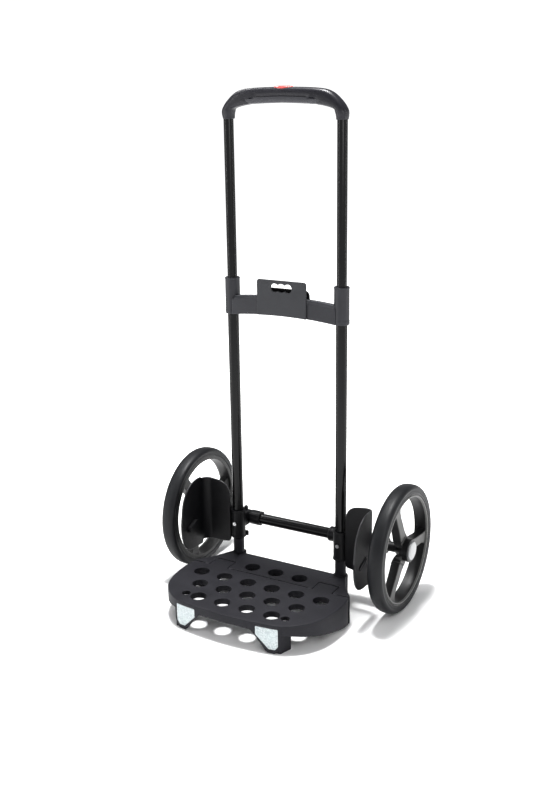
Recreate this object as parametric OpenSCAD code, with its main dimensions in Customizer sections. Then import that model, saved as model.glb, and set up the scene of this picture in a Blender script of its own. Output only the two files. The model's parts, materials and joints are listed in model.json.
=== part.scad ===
// Two-wheeled folding trolley frame: telescopic handle, bag hook, fold-up
// perforated platform and quick-release wheels.
// Frame: origin on the floor under the middle of the object, +Z up,
// -Y towards the platform's front edge, +X to the user's left.

/* [Uprights] */
// Distance from the middle plane to each upright's centre line
half_track = 118; // [110:1:130]
// Outer radius of the lower tubes
lower_r = 11; // [10.5:0.25:12]
// Bore radius of the lower tubes
lower_bore = 9.8; // [9.75:0.05:10]
// Outer radius of the sliding upper tubes
upper_r = 9.5; // [9:0.25:9.5]
// Wall of the upper tubes
upper_wall = 1.2; // [1:0.1:1.4]
// Height of the lower tubes' upper end
lower_top = 626; // [600:1:640]
// Height of the upper tubes' lower end, handle drawn out
upper_bottom = 560; // [540:1:570]
// How far the handle slides down
handle_travel = 290; // [200:1:290]

/* [Grip] */
// Depth of the grip, front to back
grip_depth = 26; // [24:1:30]
// Travel of the release button
button_travel = 4; // [3:0.5:4]

/* [Crossbar] */
// Lower end of the sleeves that clasp the lower tubes
sleeve_z = 567.5; // [560:0.5:575]
// Height of the sleeves
sleeve_h = 71; // [66:1:76]
// Width of the bag hook plate
hook_w = 105.5; // [90:0.5:110]

/* [Wheels] */
// Outer radius of the tyres
wheel_r = 127.1; // [120:0.1:130]
// Width of the tyres
tyre_w = 30.4; // [28:0.2:32]
// Distance from the middle plane to the middle of each tyre
wheel_x = 232.2; // [230:0.2:236]
// Height of the axle
axle_z = 127.1; // [120:0.1:130]
// Distance of the axle behind the uprights
axle_back = 30.4; // [28:0.2:34]
// Number of spokes
spokes = 3; // [3:1:6]
// Turn of the right wheel's spokes
spoke_turn_right = 113; // [0:1:359]
// Turn of the left wheel's spokes
spoke_turn_left = 129; // [0:1:359]
// Radius of the axle pins
pin_r = 6; // [5:0.5:6]

/* [Platform] */
// Height of the platform's top face
deck_z = 57.8; // [54:0.2:62]
// Thickness of the deck
deck_t = 3.2; // [2.6:0.1:3.4]
// Radius of the round deck holes
hole_r = 15.6; // [12:0.2:16]
// Spacing of the deck holes in a row
hole_pitch = 53.9; // [52:0.1:56]
// Depth of the collars round the deck holes, from the top face
collar_h = 12; // [6:0.5:14]
// Thickness of the skirt below the deck
skirt_t = 3; // [2:0.2:4]

/* [Hidden] */
ty = 47.5;                 // the uprights' plane, from the middle of the object
hx = half_track;
ax = [ty + axle_back, axle_z];
function spoke_turn(s) = s > 0 ? spoke_turn_right : spoke_turn_left;
hinge_y = -83; hinge_z = deck_z - 4; hinge_r = 3.9; hpin_r = 2;
lock_z = upper_bottom + 18;
black = [0.055, 0.055, 0.06]; plastic = [0.2, 0.2, 0.215]; dark = [0.1, 0.1, 0.11];
rubber = [0.13, 0.13, 0.14]; steel = [0.75, 0.75, 0.76]; red = [0.85, 0.12, 0.1]; white = [0.88, 0.89, 0.9];
$fn = 64;

// ---- helpers -------------------------------------------------------------
// Point on a smooth curve through four points, at parameter t
function cr(a, b, c, d, t) = 0.5 * ((2 * b) + (c - a) * t + (2 * a - 5 * b + 4 * c - d) * t * t + (3 * b - a - 3 * c + d) * t * t * t);
// A list of points smoothed into n steps a span
function smooth(p, n) = [for (i = [0 : len(p) - 2]) for (k = [0 : n - 1])
    cr(p[max(0, i - 1)], p[i], p[i + 1], p[min(len(p) - 1, i + 2)], k / n), p[len(p) - 1]];
function unit(v) = v / norm(v);
// Moves an open line of points sideways by d
function shifted(p, d) = [for (i = [0 : len(p) - 1]) let (t = unit(p[min(len(p) - 1, i + 1)] - p[max(0, i - 1)])) p[i] + d * [-t[1], t[0]]];

// Rod along X, from x0 to x1, at height z and depth y
module xrod(x0, x1, r, y, z) translate([min(x0, x1), y, z]) rotate([0, 90, 0]) cylinder(r = r, h = abs(x1 - x0));
// Rod along Y
module yrod(y0, y1, r, x, z) translate([x, min(y0, y1), z]) rotate([-90, 0, 0]) cylinder(r = r, h = abs(y1 - y0));
// Outline in X and Z, given a depth in Y
module front_slab(pts, y0, y1) translate([0, y1, 0]) rotate([90, 0, 0]) linear_extrude(height = y1 - y0) polygon(pts);
// Box between two corners
module block(a, b) translate([min(a[0], b[0]), min(a[1], b[1]), min(a[2], b[2])]) cube([abs(b[0] - a[0]), abs(b[1] - a[1]), abs(b[2] - a[2])]);
// Closed coil spring along Z
module coil(r, wire, turns, h) {
  n = 18; m = 6; steps = ceil(turns * n);
  pts = [for (i = [0 : steps]) for (j = [0 : m - 1])
    let (a = 360 * i / n, b = 360 * j / m, q = r + wire / 2 * cos(b))
    [q * cos(a), q * sin(a), wire / 2 + (h - wire) * i / steps + wire / 2 * sin(b)]];
  faces = concat([[for (j = [m - 1 : -1 : 0]) m - 1 - j]],
    [for (i = [0 : steps - 1]) for (j = [0 : m - 1]) [i * m + j, (i + 1) * m + j, (i + 1) * m + (j + 1) % m, i * m + (j + 1) % m]],
    [[for (j = [0 : m - 1]) steps * m + m - 1 - j]]);
  polyhedron(points = pts, faces = faces, convexity = 6);
}
// Pan-head screw along X (inwards is +1 or -1), head's underside at x
module xscrew(x, y, z, dir, len, r) {
  xrod(x, x + dir * len, r, y, z);
  difference() {
    xrod(x, x - dir * 2.4, r * 1.9, y, z);
    block([x - dir * 1.4, y - 0.5, z - 2.2], [x - dir * 3, y + 0.5, z + 2.2]);
    block([x - dir * 1.4, y - 2.2, z - 0.5], [x - dir * 3, y + 2.2, z + 0.5]);
  }
}
// The same along Y
module yscrew(x, y, z, dir, len, r) {
  yrod(y, y + dir * len, r, x, z);
  difference() {
    yrod(y, y - dir * 2.4, r * 1.9, x, z);
    block([x - 0.5, y - dir * 1.4, z - 2.2], [x + 0.5, y - dir * 3, z + 2.2]);
    block([x - 2.2, y - dir * 1.4, z - 0.5], [x + 2.2, y - dir * 3, z + 0.5]);
  }
}

// ---- uprights ------------------------------------------------------------
module lower_tube(s) color(black) translate([s * hx, ty, 0]) difference() {
  translate([0, 0, 10]) cylinder(r = lower_r, h = lower_top - 10);
  translate([0, 0, 9]) cylinder(r = lower_bore, h = lower_top);
  yrod(5, 14, 3.1, 0, lock_z);
  yrod(5, 14, 3.1, 0, lock_z - handle_travel);
  yrod(-14, -5, 2.05, 0, 124.6);
  yrod(5, 14, 2.05, 0, 30);
  yrod(5, 14, 1.66, 0, sleeve_z + 40);
}
module tube_end_plugs() color(dark) for (s = [-1, 1]) translate([s * hx, ty, 0]) difference() {
  union() { translate([0, 0, 7]) cylinder(r = 10.9, h = 2.9); translate([0, 0, 9.5]) cylinder(r = lower_bore - 0.02, h = 10.5); }
  translate([0, 0, 10]) cylinder(r = 7.5, h = 20);
}
module upper_tube(s) color(black) translate([s * hx, ty, 0]) difference() {
  translate([0, 0, upper_bottom]) cylinder(r = upper_r, h = 951.5 - upper_bottom);
  translate([0, 0, upper_bottom - 1]) cylinder(r = upper_r - upper_wall, h = 400);
  yrod(4, 12, 3.1, 0, lock_z);
  yrod(4, 12, 1.66, 0, 943);
}
module tube_foot(s) color(dark) translate([s * hx, ty, 0]) difference() {
  union() { translate([0, 0, upper_bottom - 6]) cylinder(r = lower_bore - 0.08, h = 6); translate([0, 0, upper_bottom - 0.5]) cylinder(r = upper_r - upper_wall - 0.02, h = 7.5); }
  translate([0, 0, upper_bottom + 0.6]) cylinder(r = 6, h = 20);
}
// Folded spring strip with the riveted locking stud
module lock_spring(s) color(steel) translate([s * hx, ty, 0]) {
  b = upper_bottom;
  translate([-3, 0, 0]) rotate([90, 0, 90]) linear_extrude(height = 6)
    polygon([[-6.6, b + 30], [-6, b + 30], [0, b + 2.6], [6, b + 30], [6.6, b + 30], [0.4, b + 1.2], [-0.4, b + 1.2]]);
  yrod(3.6, 11.3, 2.9, 0, lock_z);
}

// ---- grip ----------------------------------------------------------------
grip_out = smooth([[129, 935], [129.5, 944], [127, 954], [117, 968], [100, 982], [80, 988.5], [42, 991], [0, 991.6]], 4);
grip_in = smooth([[105.6, 935], [105.6, 947], [100, 954.5], [64, 961.2], [0, 963.6]], 4);
base_top = smooth([[94, 966.2], [64, 972.6], [32, 975.2], [0, 976]], 4);
bar_low = [[119, 956], [112, 956.5], [100, 962.5], [95, 964.5], [45, 975.5], [0, 976]];
bar_high = [[119, 960.5], [112, 961], [100, 967.3], [95, 969.2], [45, 980.5], [0, 981]];
// Line of the arch at a clearance, for the cavity round the release bar
cav_low = [[121, 951.2], [110, 951.4], [101, 956.6], [94, 958.4], [45, 966.8], [0, 967.4]];
cav_high = [[121, 961.5], [112.3, 962], [100, 968.4], [95.2, 970.2], [45.3, 981.5], [0, 982]];
function ellipse_pts(a, b, n) = [for (i = [0 : n - 1]) [a * cos(360 * i / n), b * sin(360 * i / n)]];
module arch(lo, hi, y0, y1) front_slab(concat(lo, [for (i = [len(lo) - 2 : -1 : 0]) [-lo[i][0], lo[i][1]]],
    [for (i = [0 : len(hi) - 1]) [-hi[i][0], hi[i][1]]], [for (i = [len(hi) - 2 : -1 : 0]) hi[i]]), y0, y1);
module base_zone(y0, y1, g) arch(concat([[94 + g, 940]], [[0, 940]]), concat([[94 + g, 966.2 + g]], [for (p = base_top) p + [0, g]]), y0, y1);
module button_hole(a, b, z0, z1) translate([0, ty, z0]) linear_extrude(height = z1 - z0) polygon(ellipse_pts(a, b, 32));
module grip_cover() color(dark) difference() {
  arch(grip_in, grip_out, ty - grip_depth / 2, ty + grip_depth / 2);
  base_zone(ty - 20, ty + 20, 0.1);
  arch(cav_low, cav_high, ty - 5.5, ty + 5.5);
  for (s = [-1, 1]) translate([s * hx, ty, 930]) cylinder(r = upper_r + 0.02, h = 21.6);
  button_hole(20.4, 10.4, 975, 1000);
  for (s = [-1, 1]) yrod(ty + 4, ty + 20, 1.62, s * hx, 943);
}
module grip_base() color(plastic) difference() {
  intersection() {
    arch(grip_in, grip_out, ty - grip_depth / 2 + 0.6, ty + grip_depth / 2 - 0.6);
    base_zone(ty - 20, ty + 20, 0);
  }
  arch(cav_low, cav_high, ty - 5.5, ty + 5.5);
  for (s = [-1, 1]) translate([s * 70, ty, 950]) cylinder(r = 1.7, h = 40);
}
module grip_screws() color(steel) {
  for (s = [-1, 1]) yscrew(s * hx, ty + grip_depth / 2, 943, -1, 6, 1.6);
}
module release_button() color(red) {
  button_hole(20, 10, 981.2, 991.6);
  button_hole(18.4, 8.6, 991, 992.8);
  button_hole(14.6, 6.2, 992.4, 993.6);
}
module release_bar() color(plastic) arch(bar_low, bar_high, ty - 4, ty + 4);
// Release rod with the funnel that squeezes the lock spring
module push_rod(s) color(steel) translate([s * hx, ty, 0]) {
  b = upper_bottom + 29.8;
  translate([0, 0, b + 6]) cylinder(r = 2.2, h = 955.8 - b - 6);
  difference() { translate([0, 0, b]) cylinder(r = 7.9, h = 8); translate([0, 0, b - 0.01]) cylinder(r1 = 7.4, r2 = 3.4, h = 4.2); }
}
module button_spring() color(steel) translate([0, ty, 967.6]) coil(4, 0.9, 3.5, 8.2);

// ---- crossbar ------------------------------------------------------------
function beam_z(x, e, d) = e - d * pow(x / 112, 2);
function beam_outline(zt, dt, zb, db, w) = concat([for (i = [0 : 16]) let (x = w - w * i / 8) [x, beam_z(x, zb, db)]],
  [for (i = [0 : 16]) let (x = -w + w * i / 8) [x, beam_z(x, zt, dt)]]);
module crossbar() color(plastic) difference() {
  union() {
    for (s = [-1, 1]) translate([s * hx, ty, sleeve_z]) cylinder(r1 = 14.9, r2 = 14.2, h = sleeve_h);
    front_slab(beam_outline(603, 6, 574.5, 7, 113), ty - 15, ty - 9);
    front_slab(beam_outline(610, 6.5, 574.5, 7, 110), ty - 9, ty);
  }
  // hollow behind the face
  difference() {
    front_slab(beam_outline(600, 6, 577.5, 7, 100), ty - 12, ty + 1);
    for (x = [-75, -50, -25, 0, 25, 50, 75]) block([x - 1.2, ty - 13, 560], [x + 1.2, ty + 2, 620]);
  }
  for (s = [-1, 1]) translate([s * hx, ty, 0]) {
    translate([0, 0, sleeve_z - 1]) cylinder(r = lower_r + 0.02, h = sleeve_h - 0.4);
    translate([0, 0, sleeve_z + sleeve_h - 3]) cylinder(r = upper_r + 0.45, h = 6);
    yrod(10, 12, 3.3, 0, lock_z);
    yrod(10, 20, 1.62, 0, sleeve_z + 40);
  }
  for (s = [-1, 1]) yrod(ty - 9, ty + 1, 1.55, s * 88, 588);
}
module hook_plate() color(plastic) difference() {
  front_slab(concat([[hook_w / 2, 573.4], [hook_w / 2, 637.5]], [for (a = [0 : 15 : 90]) [hook_w / 2 - 5 + 5 * cos(a), 637.5 + 5 * sin(a)]],
    [for (a = [90 : 15 : 180]) [-hook_w / 2 + 5 + 5 * cos(a), 637.5 + 5 * sin(a)]], [[-hook_w / 2, 573.4]],
    [for (i = [-4 : 4]) [i * hook_w / 8 * 0.99, beam_z(i * hook_w / 8, 574.6, 7)]]), ty - 18.4, ty - 15.02);
  for (x = [-14.6, 0, 14.6]) yrod(ty - 20, ty - 10, 8.2, x, 628.3);
  block([-14.6, ty - 20, 622.4], [14.6, ty - 10, 634.2]);
}
module crossbar_cover() color(dark) difference() {
  union() {
    front_slab(beam_outline(609, 6.5, 575.5, 7, 99), ty + 0.02, ty + 3);
    front_slab(concat([[50, 600], [50, 613]], [for (a = [0 : 15 : 90]) [40 + 10 * cos(a), 614 + 10 * sin(a)]],
      [for (a = [90 : 15 : 180]) [-40 + 10 * cos(a), 614 + 10 * sin(a)]], [[-50, 613], [-50, 600]]), ty + 0.02, ty + 3);
  }
  for (s = [-1, 1]) yrod(ty - 1, ty + 9, 1.7, s * 88, 588);
}
module crossbar_screws() color(steel) {
  for (s = [-1, 1]) yscrew(s * hx, ty + 14.7, sleeve_z + 40, -1, 4.7, 1.6);
  for (s = [-1, 1]) yscrew(s * 88, ty + 3.02, 588, -1, 9.5, 1.5);
}
module sleeve_bush(s) color(dark) translate([s * hx, ty, lower_top + 0.1]) difference() {
  cylinder(r = lower_r, h = 9.2);
  translate([0, 0, -1]) cylinder(r = upper_r + 0.07, h = 12);
}

// ---- axle brackets, guards -----------------------------------------------
module bracket(s) color(black) difference() {
  union() {
    translate([s * hx, ty, 94]) cylinder(r = 14.5, h = 58);
    for (z = [92.7, 150]) translate([s * hx, ty, z]) cylinder(r = 15.4, h = 3);
    block([s * 106, ty + 2, 113], [s * 131, ax[0], 141]);
    xrod(s * 83, s * 150, 14, ax[0], ax[1]);
    xrod(s * 80, s * 84, 15, ax[0], ax[1]);
    xrod(s * 128, s * 206, 16.5, ax[0], ax[1]);
    block([s * 120, ty - 5.6, 96], [s * 134, ty + 16, 148]);
    for (z = [92.7, 149]) translate([s * 105.5, ty + 11.5, z]) cylinder(r = 4.2, h = 9);
  }
  translate([s * hx, ty, 80]) cylinder(r = lower_r + 0.02, h = 90);
  xrod(s * 79, s * 98, 11.02, ax[0], ax[1]);
  xrod(s * 97, s * 210, pin_r + 0.01, ax[0], ax[1]);
  yrod(ty - 20, ty - 8, 2.1, s * hx, 124.6);
  yrod(ty - 20, ty - 14.25, 4.3, s * hx, 124.6);
  for (z = [104, 136]) xrod(s * 129.5, s * 136, 1.6, ty - 1, z);
}
module bracket_screws() color(steel) for (s = [-1, 1]) yscrew(s * hx, ty - 14.3, 124.6, 1, 6.5, 2);
module axle_tube() color(black) difference() {
  xrod(-97.8, 97.8, 11, ax[0], ax[1]);
  xrod(-99, 99, 9.6, ax[0], ax[1]);
}
module axle_pin(s) color(steel) translate([0, ax[0], ax[1]]) rotate([0, s * 90, 0]) rotate_extrude() polygon(
  [[0, 98.2], [pin_r - 0.5, 98.2], [pin_r, 99], [pin_r, 241], [4.6, 241], [4.6, 244], [pin_r, 244], [pin_r, 248.5], [4.4, 251], [0, 251]]);
module thrust_washers() color(dark) for (s = [-1, 1]) difference() {
  xrod(s * 206.1, s * 207.7, 9.8, ax[0], ax[1]);
  xrod(s * 205, s * 209, pin_r + 0.05, ax[0], ax[1]);
}
// Wheel guard: a flange on the bracket, a cross wall and a side panel, bent from one 3 mm sheet
guard_panel = smooth([[-9, 216], [-30, 219], [-52, 217], [-72, 206.5], [-87.5, 187], [-95, 160], [-98.5, 131], [-96, 104], [-88, 85], [-73, 74], [-48, 70.5], [-9, 70]], 3);
guard_cross = smooth([[132.6, 86], [132.6, 178], [134.4, 194], [141, 205], [154, 211.5], [176, 214.5], [199, 216]], 3);
module guard_plan(t) linear_extrude(height = 260) polygon(concat(
  [[134.2, ty + 9], [134.2, ty - 6]], [[132.6, ty - 6]], [[132.6, ty - 9]], [[176, ty - 9]], [for (a = [75 : -15 : 0]) [176 + 16 * cos(a), ty - 25 + 16 * sin(a)]], [[192, ty - 110], [192 + t, ty - 110]],
  [for (a = [0 : 15 : 90]) [176 + (16 + t) * cos(a), ty - 25 + (16 + t) * sin(a)]], [[137.2, ty - 9 + t]], [[137.2, ty + 9]]));
module guard(s) color(black) mirror([s > 0 ? 0 : 1, 0, 0]) difference() {
  intersection() {
    guard_plan(3);
    union() {
      // side panel outline, seen from the side
      translate([178, 0, 0]) rotate([90, 0, 90]) linear_extrude(height = 30) polygon([for (p = concat(guard_panel, [[0, 70], [0, 213]])) [p[0] + ty, p[1]]]);
      front_slab(concat(guard_cross, [[199, 78], [150, 78], [137, 80]]), ty - 20, ty + 12);
    }
  }
  for (z = [104, 136]) xrod(130, 140, 1.8, ty - 1, z);
  // slanted strap slot in the side panel
  translate([185, ty - 62, 124]) rotate([21, 0, 0]) { block([0, -11.5, -6.5], [20, 11.5, 6.5]); xrod(0, 20, 6.5, -11.5, 0); xrod(0, 20, 6.5, 11.5, 0); }
}
module guard_screws() color(steel) for (s = [-1, 1]) for (z = [104, 136]) xscrew(s * 137.25, ty - 1, z, -s, 7.2, 1.55);

// ---- wheels --------------------------------------------------------------
module on_axle(s) translate([0, ax[0], ax[1]]) rotate([0, s * 90, 0]) children();
wi = wheel_x - tyre_w / 2; wo = wheel_x + tyre_w / 2;
module rim(s) color(dark) difference() {
  union() {
    on_axle(s) rotate_extrude($fn = 128) polygon([[104, wi + 0.8], [112, wi + 0.8], [112, wi + 3.6], [109, wi + 4.6], [109, wo - 4.6], [112, wo - 3.6], [112, wo - 0.4], [105.5, wo - 0.4], [104, wo - 2]]);
    on_axle(s) rotate_extrude() polygon([[0, 208.2], [10, 208.2], [10, 224], [13, 227], [22.5, 240], [22.5, 254.8], [0, 254.8]]);
    for (i = [0 : spokes - 1]) translate([0, ax[0], ax[1]]) rotate([spoke_turn(s) + i * 360 / spokes - 90, 0, 0])
      translate([s > 0 ? 226 : -243, 0, 0]) rotate([90, 0, 90]) linear_extrude(height = 17) polygon([[-15, 12], [-11.5, 45], [-11, 85], [-15, 105], [15, 105], [11, 85], [11.5, 45], [15, 12]]);
  }
  // channel in each spoke's inner face
  for (i = [0 : spokes - 1]) translate([0, ax[0], ax[1]]) rotate([spoke_turn(s) + i * 360 / spokes - 90, 0, 0])
    translate([s > 0 ? 225 : -240, 0, 0]) rotate([90, 0, 90]) linear_extrude(height = 15) polygon([[-9.5, 30], [-8.5, 45], [-8, 84], [-10, 99], [10, 99], [8, 84], [8.5, 45], [9.5, 30]]);
  on_axle(s) translate([0, 0, 200]) cylinder(r = 7, h = 50);
  on_axle(s) translate([0, 0, 207]) cylinder(r = 8.02, h = 13.2);
  on_axle(s) translate([0, 0, 228]) cylinder(r = 8.02, h = 20);
  on_axle(s) translate([0, 0, 240.5]) cylinder(r = 18.6, h = 20);
}
module tyre(s) color(rubber) on_axle(s) rotate_extrude($fn = 128) polygon(concat(
  [[109.02, wi + 4.7], [112.1, wi + 3.7], [112.1, wi + 0.3], [118, wi]],
  [for (a = [180 : -15 : 90]) [wheel_r - 6 + 6 * sin(a), wi + 6 + 6 * cos(a)]],
  [[wheel_r, wheel_x]],
  [for (a = [90 : -15 : 0]) [wheel_r - 6 + 6 * sin(a), wo - 6 + 6 * cos(a)]],
  [[118, wo], [112.1, wo - 0.3], [112.1, wo - 3.7], [109.02, wo - 4.7]]));
module wheel_bushes(s) color([0.85, 0.84, 0.8]) for (z = [208.3, 228.2]) difference() {
  on_axle(s) translate([0, 0, z]) cylinder(r = 8, h = 11.6);
  on_axle(s) translate([0, 0, z - 1]) cylinder(r = pin_r + 0.06, h = 14);
}
// Sliding plate whose hole drops into the axle pin's groove
module wheel_latch(s) color(steel) difference() {
  translate([0, ax[0], ax[1] + 1.2]) rotate([0, s * 90, 0]) translate([0, 0, 241.5]) cylinder(r = 14.5, h = 2);
  translate([0, ax[0], ax[1] + 1.2]) rotate([0, s * 90, 0]) translate([0, 0, 240]) cylinder(r = pin_r + 0.4, h = 6);
  block([s * 240, ax[0] - 30, ax[1] + 15.2], [s * 246, ax[0] + 30, ax[1] + 20]);
}
module hub_cap(s) color(white) on_axle(s) rotate_extrude() polygon([[0, 256.2], [13, 256.2], [16.4, 255.4], [16.4, 248.4], [18.2, 248.4], [18.2, 257.4], [17.6, 258.4], [15.5, 259.2], [8, 259.6], [0, 259.7]]);
module cap_spring(s) color(steel) on_axle(s) translate([0, 0, 244]) coil(11.2, 1.2, 2.8, 12);

// ---- platform ------------------------------------------------------------
// Half outlines seen from above, from the hinge line round to the middle, y from the uprights
flap_half = smooth([[175.8, -83], [178.6, -100], [179.3, -118], [178, -140], [174.5, -164], [167, -187], [154, -208.5], [134, -228.5], [110, -242.2], [88, -246.3], [66, -248.6], [33, -251.4], [0, -252.5]], 2);
rear_half = [[176, -78.6], [173.6, -73], [162, -58], [151, -42], [141, -23], [132, -4], [129.5, 8], [124.5, 14], [111.5, 14], [106, 8], [104.5, -1.2]];
// A half outline and its mirror image; a point on the middle line is used once
function both(p) = concat(p, [for (i = [len(p) - 1 : -1 : 0]) if (p[i][0] > 0) [-p[i][0], p[i][1]]]);
// A half outline moved inwards, ending on the middle line
function inset(p, d) = [for (q = shifted(p, -d)) [q[0] < 0.5 ? 0 : q[0], q[1]]];
function at_tubes(p) = [for (q = p) [q[0], q[1] + ty]];
flap_in = inset(flap_half, skirt_t);
rear_in = [[172, -78.6], [170.5, -74.5], [159.4, -60], [148.4, -43.6], [138.4, -24.6], [129.3, -5.4], [127, 5], [122, 11], [114, 11], [109, 5], [107, -4.2]];
module zslab(p, z0, z1) translate([0, 0, z0]) linear_extrude(height = z1 - z0) polygon(p);
module deck_holes(rows) for (r = rows) for (i = [0 : r[1] - 1])
  translate([(i - (r[1] - 1) / 2) * hole_pitch, ty + r[0], 20]) cylinder(r = hole_r, h = 60);
module deck_collars(rows) for (r = rows) for (i = [0 : r[1] - 1])
  translate([(i - (r[1] - 1) / 2) * hole_pitch, ty + r[0], deck_z - collar_h]) cylinder(r = hole_r + 1.8, h = collar_h - 1);
// Space kept free for the flap's hinge tabs
module tab_slot(s, g) block([s * (97 - g), ty - 90, 10], [s * (139 + g), ty - 50.5 + 3.3, 70]);
module platform_rear() color(plastic) difference() {
  union() {
    difference() {
      zslab(at_tubes(both(rear_half)), 0, deck_z);
      zslab(at_tubes(both(rear_in)), -1, deck_z - deck_t);
      block([-101, ty - 60, -1], [101, ty + 20, 4]);
      for (s = [-1, 1]) front_slab([[s * 103.9, -1], [s * 103.9, 26], [s * 200, 26], [s * 200, 12]], ty - 46, ty + 30);
      for (s = [-1, 1]) block([s * 100, ty - 50, -1], [s * 200, ty + 30, 12]);
    }
    for (s = [-1, 1]) intersection() {
      translate([s * hx, ty, 6]) cylinder(r = 15, h = deck_z - 6);
      zslab(at_tubes(both(concat([[180, -78.6]], [[180, -30]], [[134, -2]], [for (i = [6 : 10]) rear_half[i]]))), 0, deck_z);
    }
    for (x = [-80, -48, -16, 16, 48, 80]) block([x - 1.2, ty - 76, 28], [x + 1.2, ty - 2, deck_z - 1]);
    block([-84, ty - 78.6, 26], [84, ty - 76, deck_z - 1]);
    for (s = [-1, 1]) block([s * 153, ty - 78.6, 0], [s * 174, ty - 75.6, deck_z - 1]);
    for (s = [-1, 1]) block([s * 153, ty - 77, 0], [s * 156, ty - 62, deck_z - 1]);
    for (s = [-1, 1]) block([s * 142, ty - 66, 22], [s * 144.6, ty - 30, deck_z - 1]);
    for (s = [-1, 1]) block([s * 91, ty - 70, 22], [s * 93.6, ty - 4, deck_z - 1]);
    deck_collars([[-53.3, 3]]);
  }
  for (s = [-1, 1]) translate([s * hx, ty, 10.05]) cylinder(r = lower_r + 0.02, h = 60);
  for (s = [-1, 1]) translate([s * hx, ty, 0]) cylinder(r = 10.92, h = 12);
  for (s = [-1, 1]) yrod(ty + 8, ty + 20, 2.05, s * hx, 30);
  for (s = [-1, 1]) tab_slot(s, 1.5);
  deck_holes([[-53.3, 3]]);
}
// Knuckles are added last, clear of the slot
module rear_knuckles() color(plastic) for (s = [-1, 1]) for (k = [[86.3, 95.2], [140.8, 150.7]]) difference() {
  union() { xrod(s * k[0], s * k[1], hinge_r, ty + hinge_y, hinge_z); block([s * k[0], ty + hinge_y, hinge_z - 3.6], [s * k[1], ty - 76, hinge_z + 3.6]); }
  xrod(s * 80, s * 156, hpin_r + 0.01, ty + hinge_y, hinge_z);
}
module platform_rear_all() { platform_rear(); rear_knuckles(); }
module platform_screws() color(steel) for (s = [-1, 1]) yscrew(s * hx, ty + 14.1, 30, -1, 5.5, 2);
module hinge_pins() color(steel) for (s = [-1, 1]) xrod(s * 86.4, s * 150.6, hpin_r, ty + hinge_y, hinge_z);
// Everything above the skirt's rising lower edge
module above_edge(d) translate([0, ty, 0]) rotate([90, 0, 90]) translate([0, 0, -200]) linear_extrude(height = 400)
  polygon([[-80, 1.5 + d], [-84, 1.5 + d], [-260, 1.5 + d + 0.238 * 176], [-260, 80], [-80, 80]]);
foot_face = [[50, 46], [50, 43], [57, 39.5], [62, 35], [88, 2.5], [91, 0], [104, 0], [109, 3], [114.5, 12], [115.5, 50]];
module reflector_solid(s, g, t) mirror([s > 0 ? 0 : 1, 0, 0]) translate([88.5, ty - 245.1, 0]) rotate([0, 0, 8]) translate([-88.5, 0, 0])
  front_slab([[66 - g, 50 + g], [111 + g, 50 + g], [111 + g, 15 - g * 0.5], [105 + g * 0.5, 7 - g], [92 - g * 0.5, 7 - g], [66 - g, 33 - g * 0.5]], g > 0 ? -6 : 0, t);
module platform_flap() color(plastic) difference() {
  union() {
    // deck and skirt
    difference() {
      intersection() { zslab(at_tubes(both(flap_half)), 0, deck_z); above_edge(0); }
      zslab(at_tubes(both(flap_in)), -1, deck_z - deck_t);
      block([-200, ty - 83.01, -1], [200, ty - 70, 70]);
    }
    xrod(-175.6, 175.6, hinge_r, ty + hinge_y, hinge_z);
    for (s = [-1, 1]) block([s * 97, ty - 84, deck_z - 5.5], [s * 139, ty - 50.5, deck_z]);
    for (s = [-1, 1]) block([s * 101, ty - 58, deck_z - 8.4], [s * 135, ty - 50.5, deck_z - 5]);
    for (s = [-1, 1]) block([s * 101, ty - 52, deck_z - 8.4], [s * 135, ty - 44.6, deck_z - 4.2]);
    // ribs under the deck
    for (x = [-54, 0, 54]) intersection() { block([x - 1.2, ty - 92, 40], [x + 1.2, ty - 97, deck_z - 1]); above_edge(3); }
    intersection() { block([-172, ty - 141.4, 34], [172, ty - 139, deck_z - 1]); above_edge(4); }
    intersection() { block([-150, ty - 188.6, 38], [150, ty - 186.2, deck_z - 1]); above_edge(4); }
    deck_collars([[-116.7, 6], [-163.9, 5], [-211, 4]]);
    for (s = [-1, 1]) translate([s * 109, ty - 210.6, deck_z - 8]) cylinder(r = 9.9, h = 7);
    // feet: front face along the skirt, return wall, sole
    for (s = [-1, 1]) {
      intersection() {
        difference() { zslab(at_tubes(both(flap_half)), 0, 52); zslab(at_tubes(both(inset(flap_half, 6.2))), -1, 60); }
        front_slab([for (p = foot_face) [s * p[0], p[1]]], ty - 256, ty - 236);
      }
      zslab([for (p = [[106.5, -240.5], [112.5, -240.8], [122.5, -213], [118.5, -211]]) [s * p[0], p[1] + ty]], 0, 55);
      zslab([for (p = [[92, -241], [112, -239], [121, -213], [116, -212]]) [s * p[0], p[1] + ty]], 0, 3);
    }
  }
  for (s = [-1, 1]) for (k = [[85.8, 95.6], [140.4, 151.2]]) block([s * k[0], ty + hinge_y - 4.6, 30], [s * k[1], ty - 70, 70]);
  xrod(-160, 160, hpin_r + 0.06, ty + hinge_y, hinge_z);
  deck_holes([[-116.7, 6], [-163.9, 5], [-211, 4]]);
  for (s = [-1, 1]) translate([s * 109, ty - 210.6, 40]) cylinder(r = 8.5, h = 30);
  for (s = [-1, 1]) reflector_solid(s, 0.15, 2.4);
}
module reflector(s) color(white) reflector_solid(s, 0, 2.2);

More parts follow.
